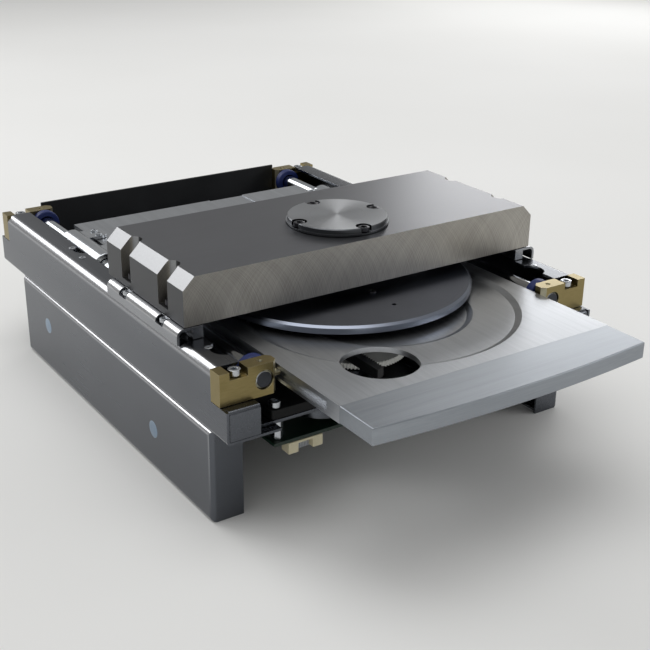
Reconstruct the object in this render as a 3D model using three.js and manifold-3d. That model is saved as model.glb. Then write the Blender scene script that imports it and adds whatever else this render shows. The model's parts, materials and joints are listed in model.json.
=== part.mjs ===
// Tray transport mechanism of a disc player, in millimetres.
// +Z is up and the tray opens towards -Y. The pieces are placed round the spindle, whose axis is
// x = 0, y = 0, and the whole is then moved so that its origin is at the middle of its footprint.
import * as THREE from 'three';
import { mergeVertices } from 'three/addons/utils/BufferGeometryUtils.js';
import Module from 'manifold-3d';

const wasm = await Module();
wasm.setup();

// Driving sizes. The disc sets the width, and the stack of heights starts at the floor.
const DISC_RADIUS = 60;
const GAP = 0.3; // between pieces that touch
const OVERRUN = 2; // how far a cut runs past the face that it opens
const SHEET = 1.2; // folded steel sheet
const SCREW_RADIUS = 1.4;
const SCREW_HOLE_RADIUS = SCREW_RADIUS + GAP;
const SCREW_HEAD_RADIUS = 2.7;
const SCREW_HEAD_HEIGHT = 2.6;
const SOCKET_ACROSS = 2.5; // hexagon socket in a screw's head
const SOCKET_DEPTH = 1.3;

const LEG_HEIGHT = 43.5;
const FRAME_HEIGHT = 29.1;
const SHELF_HEIGHT = 14.6; // from the side frame's underside to the seat of an end block
const FRAME_FRONT_REACH = 70; // from the spindle to the side frames' front end
const FRAME_REAR_REACH = 183.4;
const LEG_FRONT_REACH = 55.3;
const LEG_REAR_REACH = 156.1;
const LEG_FLANGE = 15.4;
const LEG_FOOT = 13.4;
const LEG_BEND = 2.4;

const RECESS_CLEARANCE = 0.8; // round the disc, in the tray
const RECESS_RIM = 3; // width of the sloped rim of the recess
const RECESS_DEPTH = 1.3;
const SMALL_RECESS_RADIUS = 42.1; // the ring for small discs
const SMALL_RECESS_RIM = 2.7;
const SMALL_RECESS_DEPTH = 1;
const TRAY_BORDER = 7.6; // from the rim of the recess to the tray's side
const TRAY_THICKNESS = 7.5;
const TRAY_RISE = 4.3; // from the guide rods' axis to the tray's top
const TRAY_FRONT_REACH = 71.6; // from the middle of the recess to the joint with the front panel
const TRAY_OPEN_AT_REST = 34.9; // how far the tray stands out from its closed place
const TRAY_REAR_CLEARANCE = 0.4;
const PANEL_DEPTH = 21; // the tray's front panel, at its corners
const PANEL_BULGE = 3.6;
const PANEL_EDGE = 0.6; // chamfer round the front panel

const TURNTABLE_RADIUS = 63.9;
const TURNTABLE_THICKNESS = 3.6;
const TURNTABLE_CLEARANCE = 0.8; // above the tray
const DISC_CLEARANCE = 2.6; // between the open tray's disc and the turntable
const TRAY_TRAVEL = TURNTABLE_RADIUS + DISC_RADIUS + RECESS_CLEARANCE + DISC_CLEARANCE;

const ROD_RADIUS = 4;
const ROD_DROP = 7.1; // from the side frames' top to the rods' axis
const BLOCK_NOSE = 6.2; // from a rod's axis to the inner end of its block
const BLOCK_TAIL = 20.6; // from a rod's axis to the outer end of its block
const BLOCK_DEPTH = 7.4;
const FRONT_BLOCK_INSET = 5.3; // from the side frame's end to the block's face
const REAR_BLOCK_INSET = 4.1;
const BLOCK_CHAMFER = 2;
const TRAY_SIDE_GAP = 1.3; // between the tray and the end blocks

const BRIDGE_FRONT = 28.8; // from the spindle to the bridge's front face
const BRIDGE_BACK = 45.9;
const BRIDGE_HEIGHT = 21.7;
const BRIDGE_INSET = 3.8; // from the side frames' outer face to the bridge's end
const BRIDGE_CHAMFER = 5.5;
const RISER_HEIGHT = 5.8; // from the side frames' top to the riser's top
const RISER_FRONT = 29.2;
const RISER_BACK = 40.1;
const RISER_BEND = 3;

const CAP_RADIUS = 23.4;
const CAP_THICKNESS = 3.2;
const BASE_THICKNESS = 1.5;

// Places worked out from the driving sizes
const RECESS_FLOOR_RADIUS = DISC_RADIUS + RECESS_CLEARANCE;
const RECESS_RADIUS = RECESS_FLOOR_RADIUS + RECESS_RIM;
const TRAY_HALF = RECESS_RADIUS + TRAY_BORDER;
const ROD_X = TRAY_HALF + TRAY_SIDE_GAP + BLOCK_NOSE;
const FRAME_HALF = ROD_X + BLOCK_TAIL;
const FRAME_BOTTOM = LEG_HEIGHT + GAP;
const FRAME_TOP = FRAME_BOTTOM + FRAME_HEIGHT;
const SHELF_TOP = FRAME_BOTTOM + SHELF_HEIGHT;
const ROD_Z = FRAME_TOP - ROD_DROP;
const TRAY_TOP = ROD_Z + TRAY_RISE;
const TRAY_BOTTOM = TRAY_TOP - TRAY_THICKNESS;
const TRAY_REAR = FRAME_REAR_REACH - SHEET - TRAY_REAR_CLEARANCE;
const TURNTABLE_BOTTOM = TRAY_TOP + TURNTABLE_CLEARANCE;
const TURNTABLE_TOP = TURNTABLE_BOTTOM + TURNTABLE_THICKNESS;
const RISER_TOP = FRAME_TOP + RISER_HEIGHT;
const BRIDGE_BOTTOM = RISER_TOP + GAP;
const BRIDGE_TOP = BRIDGE_BOTTOM + BRIDGE_HEIGHT;
const BRIDGE_HALF = FRAME_HALF - BRIDGE_INSET;
const BASE_BOTTOM = FRAME_BOTTOM + SHEET + GAP;
const BASE_TOP = BASE_BOTTOM + BASE_THICKNESS;
const FRONT_BLOCK_FACE = -FRAME_FRONT_REACH + FRONT_BLOCK_INSET;
const REAR_BLOCK_FACE = FRAME_REAR_REACH - REAR_BLOCK_INSET;
const LEG_HALF = FRAME_HALF; // the lower plates are flush with the side frames
const UP = new THREE.Vector3(0, 0, 1);

// How finely round things are cut
const ARC_STEPS = 3;
const SMALL_ROUND = 12;
const MIDDLE_ROUND = 20;
const LARGE_ROUND = 64;

// Surfaces
const finish = (color, roughness, metalness) =>
  new THREE.MeshStandardMaterial({ color, roughness, metalness, flatShading: true });
const brushedAluminium = finish(0xa9adb2, 0.35, 1);
const milledAluminium = finish(0x8d8a84, 0.4, 1);
const darkAnodised = finish(0x2b2d33, 0.35, 0.8);
const satinSteel = finish(0x5b5f66, 0.35, 1);
const polishedSteel = finish(0xc4c6c8, 0.12, 1);
const goldAnodised = finish(0xa58a4c, 0.35, 1);
const blackPlastic = finish(0x17181a, 0.5, 0);
const whitePlastic = finish(0xe4e4e0, 0.5, 0);
const creamPlastic = finish(0xd8cfae, 0.5, 0);
const blueRubber = finish(0x1b2c66, 0.6, 0);
const blackScrew = finish(0x1c1c1e, 0.35, 0.8);
const boardGreen = finish(0x1e3a2a, 0.5, 0);
const lensGlass = finish(0x6e86a8, 0.08, 0);

// Turns a closed geometry into a solid that can be joined and cut.
function solid(geometry) {
  const bare = geometry.clone();
  bare.deleteAttribute('normal');
  bare.deleteAttribute('uv');
  const merged = mergeVertices(bare);
  const corners = merged.index.array;
  const triangles = [];
  for (let i = 0; i < corners.length; i += 3) {
    const [a, b, c] = corners.slice(i, i + 3);
    if (a !== b && b !== c && c !== a) triangles.push(a, b, c);
  }
  return new wasm.Manifold(new wasm.Mesh({
    numProp: 3,
    vertProperties: merged.attributes.position.array,
    triVerts: new Uint32Array(triangles),
  }));
}

function geometryOf(shape) {
  const { vertProperties, triVerts } = shape.getMesh();
  const geometry = new THREE.BufferGeometry();
  geometry.setAttribute('position', new THREE.BufferAttribute(vertProperties, 3));
  geometry.setIndex(new THREE.BufferAttribute(triVerts, 1));
  return geometry;
}

// The same shape on the other side of x = 0.
function mirrored(shape) {
  const geometry = geometryOf(shape);
  geometry.scale(-1, 1, 1);
  const corners = geometry.index.array;
  for (let i = 0; i < corners.length; i += 3) {
    [corners[i], corners[i + 1]] = [corners[i + 1], corners[i]];
  }
  return solid(geometry);
}

const joined = (...shapes) => shapes.reduce((whole, shape) => whole.add(shape));
const cut = (shape, ...tools) => tools.reduce((whole, tool) => whole.subtract(tool), shape);

// Rounds the corners of a closed outline. Each corner is x, y and, where it is round, a radius.
function outline(corners) {
  const points = [];
  corners.forEach(([x, y, radius = 0], i) => {
    const corner = new THREE.Vector2(x, y);
    if (radius === 0) {
      points.push(corner);
      return;
    }
    const [backX, backY] = corners.at(i - 1);
    const [aheadX, aheadY] = corners[(i + 1) % corners.length];
    const back = new THREE.Vector2(backX, backY).sub(corner).normalize();
    const ahead = new THREE.Vector2(aheadX, aheadY).sub(corner).normalize();
    const half = Math.acos(back.dot(ahead)) / 2;
    const centre = back.clone().add(ahead).setLength(radius / Math.sin(half)).add(corner);
    const from = back.multiplyScalar(radius / Math.tan(half)).add(corner).sub(centre);
    const to = ahead.multiplyScalar(radius / Math.tan(half)).add(corner).sub(centre);
    const turn = Math.atan2(from.cross(to), from.dot(to));
    for (let step = 0; step <= ARC_STEPS; step += 1) {
      points.push(from.clone().rotateAround(new THREE.Vector2(), (turn * step) / ARC_STEPS).add(centre));
    }
  });
  return points;
}

// The section of a folded sheet, from the corners of its outer face. The sheet lies on the side
// that the face turns towards, and its inner bends are tighter by its thickness.
function folded(face, side, thickness = SHEET) {
  const normals = face.slice(1).map(([x, y], i) =>
    new THREE.Vector2(y - face[i][1], face[i][0] - x).normalize().multiplyScalar(-side * thickness));
  const inner = face.map(([x, y, radius = 0], i) => {
    const before = normals[Math.max(i - 1, 0)];
    const after = normals[Math.min(i, normals.length - 1)];
    const square = before.equals(after);
    const offset = square ? before : before.clone().add(after);
    return [x + offset.x, y + offset.y, Math.max(radius - thickness, 0)];
  });
  return outline([...face, ...inner.reverse()]);
}

const prism = (points, depth) =>
  new THREE.ExtrudeGeometry(new THREE.Shape(points), { depth, bevelEnabled: false });

// Prisms with an outline in plan, with a section in x and z, and with a section in y and z
const upright = (points, low, high) => solid(prism(points, high - low).translate(0, 0, low));
const lengthwise = (points, front, back) =>
  solid(prism(points, back - front).rotateX(Math.PI / 2).translate(0, back, 0));
const turnToX = new THREE.Matrix4().makeBasis(new THREE.Vector3(0, 1, 0), UP, new THREE.Vector3(1, 0, 0));
const crosswise = (points, left, right) =>
  solid(prism(points, right - left).applyMatrix4(turnToX).translate(left, 0, 0));

const block = (left, right, front, back, low, high) =>
  solid(new THREE.BoxGeometry(right - left, back - front, high - low)
    .translate((left + right) / 2, (front + back) / 2, (low + high) / 2));

// Round bars that stand on end, run lengthwise and run crosswise
const post = (x, y, radius, low, high, sides = SMALL_ROUND) =>
  solid(new THREE.CylinderGeometry(radius, radius, high - low, sides)
    .rotateX(Math.PI / 2).translate(x, y, (low + high) / 2));
const bar = (x, z, radius, front, back, sides = SMALL_ROUND) =>
  solid(new THREE.CylinderGeometry(radius, radius, back - front, sides)
    .translate(x, (front + back) / 2, z));
const pin = (y, z, radius, left, right, sides = SMALL_ROUND) =>
  solid(new THREE.CylinderGeometry(radius, radius, right - left, sides)
    .rotateZ(Math.PI / 2).translate((left + right) / 2, y, z));

// A turned shape about the vertical axis, from the radii and heights of its profile
const turned = (profile, sides = MIDDLE_ROUND) =>
  solid(new THREE.LatheGeometry(profile.map(([radius, z]) => new THREE.Vector2(radius, z)), sides)
    .rotateX(Math.PI / 2));

// A rectangle with round corners, in plan
const roundedPlate = (left, right, front, back, radius) =>
  outline([[left, front, radius], [right, front, radius], [right, back, radius], [left, back, radius]]);

const model = new THREE.Group();
const tray = new THREE.Group();
tray.position.y = -TRAY_OPEN_AT_REST;
model.add(tray);

function place(name, shape, material, group = model, position = [0, 0, 0], turn = 0) {
  const mesh = new THREE.Mesh(geometryOf(shape), material);
  mesh.name = name;
  mesh.position.set(...position);
  mesh.rotation.z = turn;
  group.add(mesh);
}

// Socket-head screw, standing on z = 0 with its shank below
const screwShape = (shank, headHeight = SCREW_HEAD_HEIGHT) => cut(
  joined(
    post(0, 0, SCREW_HEAD_RADIUS, 0, headHeight, MIDDLE_ROUND),
    post(0, 0, SCREW_RADIUS, -shank, headHeight - SOCKET_DEPTH),
  ),
  post(0, 0, SOCKET_ACROSS / Math.sqrt(3), headHeight - SOCKET_DEPTH, headHeight + OVERRUN, 6),
);

// Lower plates: folded steel legs with flanges turned inwards at the ends, the top and the foot
function lowerPlate() {
  const inner = -LEG_HALF + LEG_FLANGE;
  const foot = -LEG_HALF + LEG_FOOT;
  const channel = lengthwise(folded([
    [foot, 0], [-LEG_HALF, 0, LEG_BEND], [-LEG_HALF, LEG_HEIGHT, LEG_BEND], [inner, LEG_HEIGHT],
  ], -1), -LEG_FRONT_REACH, LEG_REAR_REACH);
  const ends = upright(folded([
    [inner, LEG_REAR_REACH], [-LEG_HALF, LEG_REAR_REACH, LEG_BEND],
    [-LEG_HALF, -LEG_FRONT_REACH, LEG_BEND], [inner, -LEG_FRONT_REACH],
  ], 1), 0, LEG_HEIGHT);
  const fromAbove = upright(outline([
    [inner + OVERRUN, LEG_REAR_REACH], [-LEG_HALF, LEG_REAR_REACH, LEG_BEND],
    [-LEG_HALF, -LEG_FRONT_REACH, LEG_BEND], [inner + OVERRUN, -LEG_FRONT_REACH],
  ]), 0, LEG_HEIGHT);
  const fromEnd = lengthwise(outline([
    [inner + OVERRUN, 0], [-LEG_HALF, 0, LEG_BEND], [-LEG_HALF, LEG_HEIGHT, LEG_BEND], [inner + OVERRUN, LEG_HEIGHT],
  ]), -LEG_FRONT_REACH, LEG_REAR_REACH);
  return joined(channel, ends).intersect(fromAbove).intersect(fromEnd);
}
const leftLeg = lowerPlate();
place('lower_plate_left', leftLeg, satinSteel);
place('lower_plate_right', mirrored(leftLeg), satinSteel);

// Side frames: folded steel channels that carry the end blocks on shelves, and the risers on top
const FRAME_TOP_BEND = 4;
const FRAME_BOTTOM_BEND = 1.8;
const FRAME_TOP_FLANGE = 12.8;
const FRAME_BOTTOM_FLANGE = 25.3;
const FRAME_END_FLANGE = 15.7;
const FLANGE_SETBACK = 0.2; // of the end flanges, from the side wall's ends
const FLANGE_SEAM = 0.3; // slit between an end flange and the side wall
const RISER_POCKET = 0.7; // room in the frame's edge before and behind the riser
const RISER_POCKET_DEPTH = 1.3;
const RISER_POCKET_WIDTH = 5;
const SCALLOP_RADIUS = 7;
const SCALLOP_DEPTH = 4.5;
const SCALLOP_PLACES = [-43, 100];
const BRIDGE_SLOT_RADIUS = 4.5;
const BRIDGE_SLOT_INSET = 3.8; // from the bridge's end to the middle of a screw slot
const BRIDGE_SLOT_FLOOR = 3; // thickness left under a screw
const BRIDGE_SLOT_PLACES = [-10, 26.4];
const BRIDGE_SCREW_X = BRIDGE_HALF - BRIDGE_SLOT_INSET;
const BLOCK_SCREW_INSET = 8.8; // from a block's outer end to its screw

function sideFrame() {
  const front = -FRAME_FRONT_REACH;
  const back = FRAME_REAR_REACH;
  const channel = lengthwise(folded([
    [-FRAME_HALF + FRAME_BOTTOM_FLANGE, FRAME_BOTTOM], [-FRAME_HALF, FRAME_BOTTOM, FRAME_BOTTOM_BEND],
    [-FRAME_HALF, FRAME_TOP, FRAME_TOP_BEND], [-FRAME_HALF + FRAME_TOP_FLANGE, FRAME_TOP],
  ], -1), front, back);
  const frontShelf = FRONT_BLOCK_INSET + BLOCK_DEPTH;
  const rearShelf = REAR_BLOCK_INSET + BLOCK_DEPTH;
  const outside = -FRAME_HALF - OVERRUN;
  const flangeEdge = -FRAME_HALF + FRAME_END_FLANGE;
  const aboveShelf = (from, to) =>
    block(outside, -FRAME_HALF + FRAME_TOP_FLANGE + OVERRUN, from, to, SHELF_TOP, FRAME_TOP + OVERRUN);
  const shelf = (end, reach) => {
    const face = end + Math.sign(reach) * FLANGE_SETBACK;
    return crosswise(folded([
      [face, FRAME_BOTTOM + SHEET / 2], [face, SHELF_TOP, FRAME_BOTTOM_BEND], [end + reach, SHELF_TOP],
    ], -Math.sign(reach)), -FRAME_HALF + SHEET / 2, flangeEdge);
  };
  const seamReach = FRAME_BOTTOM_BEND + SHEET;
  const seam = (from, to) => block(
    -FRAME_HALF + SHEET, -FRAME_HALF + SHEET + FLANGE_SEAM, from, to, FRAME_BOTTOM + SHEET, SHELF_TOP + OVERRUN,
  );
  const pocket = block(
    outside, -FRAME_HALF + RISER_POCKET_WIDTH, -RISER_FRONT - RISER_POCKET, RISER_BACK + RISER_POCKET,
    FRAME_TOP - RISER_POCKET_DEPTH, FRAME_TOP + OVERRUN,
  );
  const scallops = SCALLOP_PLACES.map((y) => post(
    -FRAME_HALF + FRAME_TOP_FLANGE - SCALLOP_DEPTH + SCALLOP_RADIUS, y, SCALLOP_RADIUS,
    FRAME_TOP - SHEET - OVERRUN, FRAME_TOP + OVERRUN, MIDDLE_ROUND,
  ));
  const bridgeHoles = BRIDGE_SLOT_PLACES.map((y) =>
    post(-BRIDGE_SCREW_X, y, SCREW_HOLE_RADIUS, FRAME_TOP - SHEET - OVERRUN, FRAME_TOP + OVERRUN));
  const blockHoles = [FRONT_BLOCK_FACE + BLOCK_DEPTH / 2, REAR_BLOCK_FACE - BLOCK_DEPTH / 2].map((y) =>
    post(-FRAME_HALF + BLOCK_SCREW_INSET, y, SCREW_HOLE_RADIUS, SHELF_TOP - SHEET - OVERRUN, SHELF_TOP + OVERRUN));
  return cut(
    joined(
      cut(channel, aboveShelf(front - OVERRUN, front + frontShelf), aboveShelf(back - rearShelf, back + OVERRUN)),
      shelf(front, frontShelf),
      shelf(back, -rearShelf),
    ),
    seam(front - OVERRUN, front + seamReach), seam(back - seamReach, back + OVERRUN),
    pocket, ...scallops, ...bridgeHoles, ...blockHoles,
  );
}
const leftFrame = sideFrame();
place('side_frame_left', leftFrame, satinSteel);
place('side_frame_right', mirrored(leftFrame), satinSteel);

// Risers: folded brackets on the side frames, which carry the ends of the bridge
const RISER_WIDTH = 12.4; // from the side frame's outer face to the riser's inner face
const RISER_BAR_WIDTH = 4.9;
const RISER_WINDOW = 7;
const RISER_WINDOW_HEIGHT = 3;
const RISER_WINDOW_DEPTH = 3.6;
const RISER_WINDOW_PLACES = [-12.6, 23.8];

function riser() {
  const inner = -FRAME_HALF + RISER_WIDTH;
  const sheet = lengthwise(folded([
    [-FRAME_HALF, FRAME_TOP - RISER_POCKET_DEPTH + GAP], [-FRAME_HALF, RISER_TOP, RISER_BEND], [inner, RISER_TOP],
  ], -1), -RISER_FRONT, RISER_BACK);
  const innerBar = block(inner - RISER_BAR_WIDTH, inner, -RISER_FRONT, RISER_BACK, FRAME_TOP + GAP, RISER_TOP);
  const windows = RISER_WINDOW_PLACES.map((y) => block(
    -FRAME_HALF - OVERRUN, -FRAME_HALF + RISER_WINDOW_DEPTH, y - RISER_WINDOW / 2, y + RISER_WINDOW / 2,
    RISER_TOP - RISER_WINDOW_HEIGHT, RISER_TOP + OVERRUN,
  ));
  const holes = BRIDGE_SLOT_PLACES.map((y) =>
    post(-BRIDGE_SCREW_X, y, SCREW_HOLE_RADIUS, FRAME_TOP - OVERRUN, RISER_TOP + OVERRUN));
  return cut(joined(sheet, innerBar), ...windows, ...holes);
}
const leftRiser = riser();
place('riser_left', leftRiser, satinSteel);
place('riser_right', mirrored(leftRiser), satinSteel);

// Bridge: a solid aluminium beam with chamfered ends, bored for the spindle motor
const MOTOR_RADIUS = 17.5;
const MOTOR_BORE_RADIUS = MOTOR_RADIUS + GAP;
const CAP_SCREW_CIRCLE = 21;
const CAP_NOTCH_RADIUS = 3.6;
const CAP_NOTCH_FLOOR = 0.7;
const CAP_EDGE = 0.4;
const CAP_FOOT = 0.6;
const CAP_SHANK = 5;
const CAP_SCREW_HEAD = 1.9; // height of a cap screw's head

function bridge() {
  const section = [
    [-BRIDGE_HALF, BRIDGE_BOTTOM], [BRIDGE_HALF, BRIDGE_BOTTOM],
    [BRIDGE_HALF, BRIDGE_TOP - BRIDGE_CHAMFER], [BRIDGE_HALF - BRIDGE_CHAMFER, BRIDGE_TOP],
    [-BRIDGE_HALF + BRIDGE_CHAMFER, BRIDGE_TOP], [-BRIDGE_HALF, BRIDGE_TOP - BRIDGE_CHAMFER],
  ];
  const beam = lengthwise(outline(section), -BRIDGE_FRONT, BRIDGE_BACK);
  const slotFloor = BRIDGE_BOTTOM + BRIDGE_SLOT_FLOOR;
  const slots = [-1, 1].flatMap((side) => BRIDGE_SLOT_PLACES.flatMap((y) => {
    const middle = side * BRIDGE_SCREW_X;
    const outside = side * (BRIDGE_HALF + OVERRUN);
    return [
      post(middle, y, BRIDGE_SLOT_RADIUS, slotFloor, BRIDGE_TOP + OVERRUN, MIDDLE_ROUND),
      block(
        Math.min(middle, outside), Math.max(middle, outside), y - BRIDGE_SLOT_RADIUS, y + BRIDGE_SLOT_RADIUS,
        slotFloor, BRIDGE_TOP + OVERRUN,
      ),
      post(middle, y, SCREW_HOLE_RADIUS, BRIDGE_BOTTOM - OVERRUN, slotFloor + OVERRUN),
    ];
  }));
  const capHoles = [0, 1, 2, 3].map((quarter) => {
    const angle = (quarter * Math.PI) / 2;
    return post(
      CAP_SCREW_CIRCLE * Math.cos(angle), CAP_SCREW_CIRCLE * Math.sin(angle), SCREW_HOLE_RADIUS,
      BRIDGE_TOP - CAP_SHANK - GAP, BRIDGE_TOP + OVERRUN,
    );
  });
  const motorBore = post(0, 0, MOTOR_BORE_RADIUS, BRIDGE_BOTTOM - OVERRUN, BRIDGE_TOP + OVERRUN, 2 * MIDDLE_ROUND);
  return cut(beam, motorBore, ...slots, ...capHoles);
}
place('bridge_block', bridge(), milledAluminium);
const bridgeScrew = screwShape(BRIDGE_BOTTOM + BRIDGE_SLOT_FLOOR - FRAME_TOP + SHEET);
[['left', -1], ['right', 1]].forEach(([side, sign]) => {
  BRIDGE_SLOT_PLACES.forEach((y, i) => place(
    `bridge_screw_${side}_${['front', 'rear'][i]}`, bridgeScrew, blackScrew, model,
    [sign * BRIDGE_SCREW_X, y, BRIDGE_BOTTOM + BRIDGE_SLOT_FLOOR + GAP],
  ));
});

// Motor cap: a turned lid over the spindle motor, held by four screws in round notches
function motorCap() {
  const low = BRIDGE_TOP + GAP;
  const high = low + CAP_THICKNESS;
  const lid = turned([
    [0, low], [CAP_RADIUS + CAP_FOOT, low], [CAP_RADIUS + CAP_FOOT, low + CAP_FOOT], [CAP_RADIUS, low + CAP_FOOT],
    [CAP_RADIUS, high - CAP_EDGE], [CAP_RADIUS - CAP_EDGE, high], [0, high],
  ], LARGE_ROUND);
  const notches = [0, 1, 2, 3].flatMap((quarter) => {
    const angle = (quarter * Math.PI) / 2;
    const x = Math.cos(angle);
    const y = Math.sin(angle);
    return [
      post(CAP_SCREW_CIRCLE * x, CAP_SCREW_CIRCLE * y, CAP_NOTCH_RADIUS, low + CAP_NOTCH_FLOOR, high + OVERRUN, MIDDLE_ROUND),
      post(CAP_SCREW_CIRCLE * x, CAP_SCREW_CIRCLE * y, SCREW_HOLE_RADIUS, low - OVERRUN, high + OVERRUN),
    ];
  });
  return cut(lid, ...notches);
}
place('motor_cap', motorCap(), brushedAluminium);
const capScrew = screwShape(CAP_SHANK, CAP_SCREW_HEAD);
['right', 'rear', 'left', 'front'].forEach((where, quarter) => {
  const angle = (quarter * Math.PI) / 2;
  place(`cap_screw_${where}`, capScrew, blackScrew, model, [
    CAP_SCREW_CIRCLE * Math.cos(angle), CAP_SCREW_CIRCLE * Math.sin(angle),
    BRIDGE_TOP + GAP + CAP_NOTCH_FLOOR + GAP,
  ]);
});

// Spindle: a motor in the bridge's bore, whose shaft carries the turntable over the disc
const SHAFT_RADIUS = 2.2;
const SHAFT_TOP_INSET = 1.5;
const MOTOR_NECK_RADIUS = 9;
const MOTOR_SKIRT = 2.4;
const HUB_RADIUS = 8;
const HUB_HEIGHT = 2.6;
const HUB_SOCKET_RADIUS = 8.3; // takes the nose of the clamp hub
const HUB_SOCKET_DEPTH = 2.2;
const TURNTABLE_BEVEL = 1.2;
const TURNTABLE_BEVEL_HEIGHT = 0.9;
const BALANCE_HOLE_RADIUS = 1.1;
const BALANCE_HOLE_CIRCLE = 45.6;
const BALANCE_HOLE_DEPTH = 1.5;

const shaftBore = SHAFT_RADIUS + GAP;
const shaftTop = BRIDGE_TOP - SHAFT_TOP_INSET;
const shaftBottom = TURNTABLE_BOTTOM + HUB_SOCKET_DEPTH + SHEET;
place('spindle_motor', turned([
  [shaftBore, BRIDGE_BOTTOM + GAP], [MOTOR_NECK_RADIUS, BRIDGE_BOTTOM + GAP],
  [MOTOR_NECK_RADIUS, BRIDGE_BOTTOM + MOTOR_SKIRT], [MOTOR_RADIUS, BRIDGE_BOTTOM + MOTOR_SKIRT],
  [MOTOR_RADIUS, BRIDGE_TOP], [shaftBore, BRIDGE_TOP], [shaftBore, BRIDGE_BOTTOM + GAP],
]), satinSteel);
place('spindle_shaft', post(0, 0, SHAFT_RADIUS, shaftBottom + GAP, shaftTop), polishedSteel);

function turntable() {
  const disc = turned([
    [0, TURNTABLE_BOTTOM + HUB_SOCKET_DEPTH], [HUB_SOCKET_RADIUS, TURNTABLE_BOTTOM + HUB_SOCKET_DEPTH],
    [HUB_SOCKET_RADIUS, TURNTABLE_BOTTOM], [TURNTABLE_RADIUS - GAP, TURNTABLE_BOTTOM],
    [TURNTABLE_RADIUS, TURNTABLE_BOTTOM + GAP], [TURNTABLE_RADIUS, TURNTABLE_TOP - TURNTABLE_BEVEL_HEIGHT],
    [TURNTABLE_RADIUS - TURNTABLE_BEVEL, TURNTABLE_TOP], [HUB_RADIUS, TURNTABLE_TOP],
    [HUB_RADIUS, TURNTABLE_TOP + HUB_HEIGHT], [shaftBore, TURNTABLE_TOP + HUB_HEIGHT],
    [shaftBore, shaftBottom], [0, shaftBottom],
  ], LARGE_ROUND);
  const balanceHoles = [0, 1, 2].map((third) => {
    const angle = (third * 2 * Math.PI) / 3 - Math.PI / 2;
    return post(
      BALANCE_HOLE_CIRCLE * Math.cos(angle), BALANCE_HOLE_CIRCLE * Math.sin(angle), BALANCE_HOLE_RADIUS,
      TURNTABLE_TOP - BALANCE_HOLE_DEPTH, TURNTABLE_TOP + OVERRUN,
    );
  });
  return cut(disc, ...balanceHoles);
}
place('turntable', turntable(), darkAnodised);

// End blocks: gold anodised bars that hold the guide rods, screwed to the side frames' shelves
const BLOCK_NOTCH = 8.4;
const BLOCK_NOTCH_DEPTH = 3.4;
const SET_SCREW_RADIUS = 1.2;
const GUIDE_PIN_RADIUS = 1.7;
const GUIDE_PIN_ROOT = 1; // how deep a guide pin is set in its block
const GUIDE_PIN_REACH = 1.5; // how far a guide pin stands in the tray's groove
const GROOVE_RISE = 0.3; // from the rods' axis to the middle of the tray's groove
const BUMPER_RADIUS = 7.3;
const BUMPER_LENGTH = 4.3;
const BLOCK_SHANK = 12;

// The block's own origin is on the rod's axis, in its outer face. It lies towards +Y, tail at -X.
function endBlock(pinned) {
  const low = SHELF_TOP + GAP - ROD_Z;
  const high = FRAME_TOP - ROD_Z;
  const body = lengthwise(outline([
    [-BLOCK_TAIL, low], [BLOCK_NOSE - BLOCK_CHAMFER, low], [BLOCK_NOSE, low + BLOCK_CHAMFER],
    [BLOCK_NOSE, high - BLOCK_CHAMFER], [BLOCK_NOSE - BLOCK_CHAMFER, high], [-BLOCK_TAIL, high],
  ]), 0, BLOCK_DEPTH);
  const screwX = -BLOCK_TAIL + BLOCK_SCREW_INSET;
  const notch = block(
    screwX - BLOCK_NOTCH / 2, screwX + BLOCK_NOTCH / 2, -OVERRUN, BLOCK_DEPTH + OVERRUN,
    high - BLOCK_NOTCH_DEPTH, high + OVERRUN,
  );
  const bore = bar(0, 0, ROD_RADIUS + GAP, -OVERRUN, BLOCK_DEPTH + OVERRUN, MIDDLE_ROUND);
  const screwHole = post(screwX, BLOCK_DEPTH / 2, SCREW_HOLE_RADIUS, low - OVERRUN, high + OVERRUN);
  const setScrewHole = post(0, BLOCK_DEPTH / 2, SET_SCREW_RADIUS, 0, high + OVERRUN);
  const bored = cut(body, notch, bore, screwHole, setScrewHole);
  if (!pinned) return bored;
  const reach = BLOCK_NOSE + TRAY_SIDE_GAP + GUIDE_PIN_REACH;
  return joined(bored, pin(BLOCK_DEPTH / 2, GROOVE_RISE, GUIDE_PIN_RADIUS, BLOCK_NOSE - GUIDE_PIN_ROOT, reach));
}
const frontBlock = endBlock(true);
const rearBlock = endBlock(false);
const blockScrew = screwShape(BLOCK_SHANK);
const bumper = cut(
  bar(0, 0, BUMPER_RADIUS, 0, BUMPER_LENGTH, MIDDLE_ROUND),
  bar(0, 0, ROD_RADIUS + GAP, -OVERRUN, BUMPER_LENGTH + OVERRUN, MIDDLE_ROUND),
);
[
  ['front_left', -1, FRONT_BLOCK_FACE, 1, frontBlock], ['front_right', 1, FRONT_BLOCK_FACE, 1, mirrored(frontBlock)],
  ['rear_left', -1, REAR_BLOCK_FACE, -1, mirrored(rearBlock)], ['rear_right', 1, REAR_BLOCK_FACE, -1, rearBlock],
].forEach(([where, side, face, inward, shape]) => {
  const turn = inward > 0 ? 0 : Math.PI;
  place(`end_block_${where}`, shape, goldAnodised, model, [side * ROD_X, face, ROD_Z], turn);
  place(`block_screw_${where}`, blockScrew, polishedSteel, model, [
    side * (FRAME_HALF - BLOCK_SCREW_INSET), face + (inward * BLOCK_DEPTH) / 2, FRAME_TOP - BLOCK_NOTCH_DEPTH + GAP,
  ]);
  place(`bumper_${where}`, bumper, blueRubber, model, [
    side * ROD_X, face + inward * (BLOCK_DEPTH + GAP), ROD_Z,
  ], turn);
});

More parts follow.
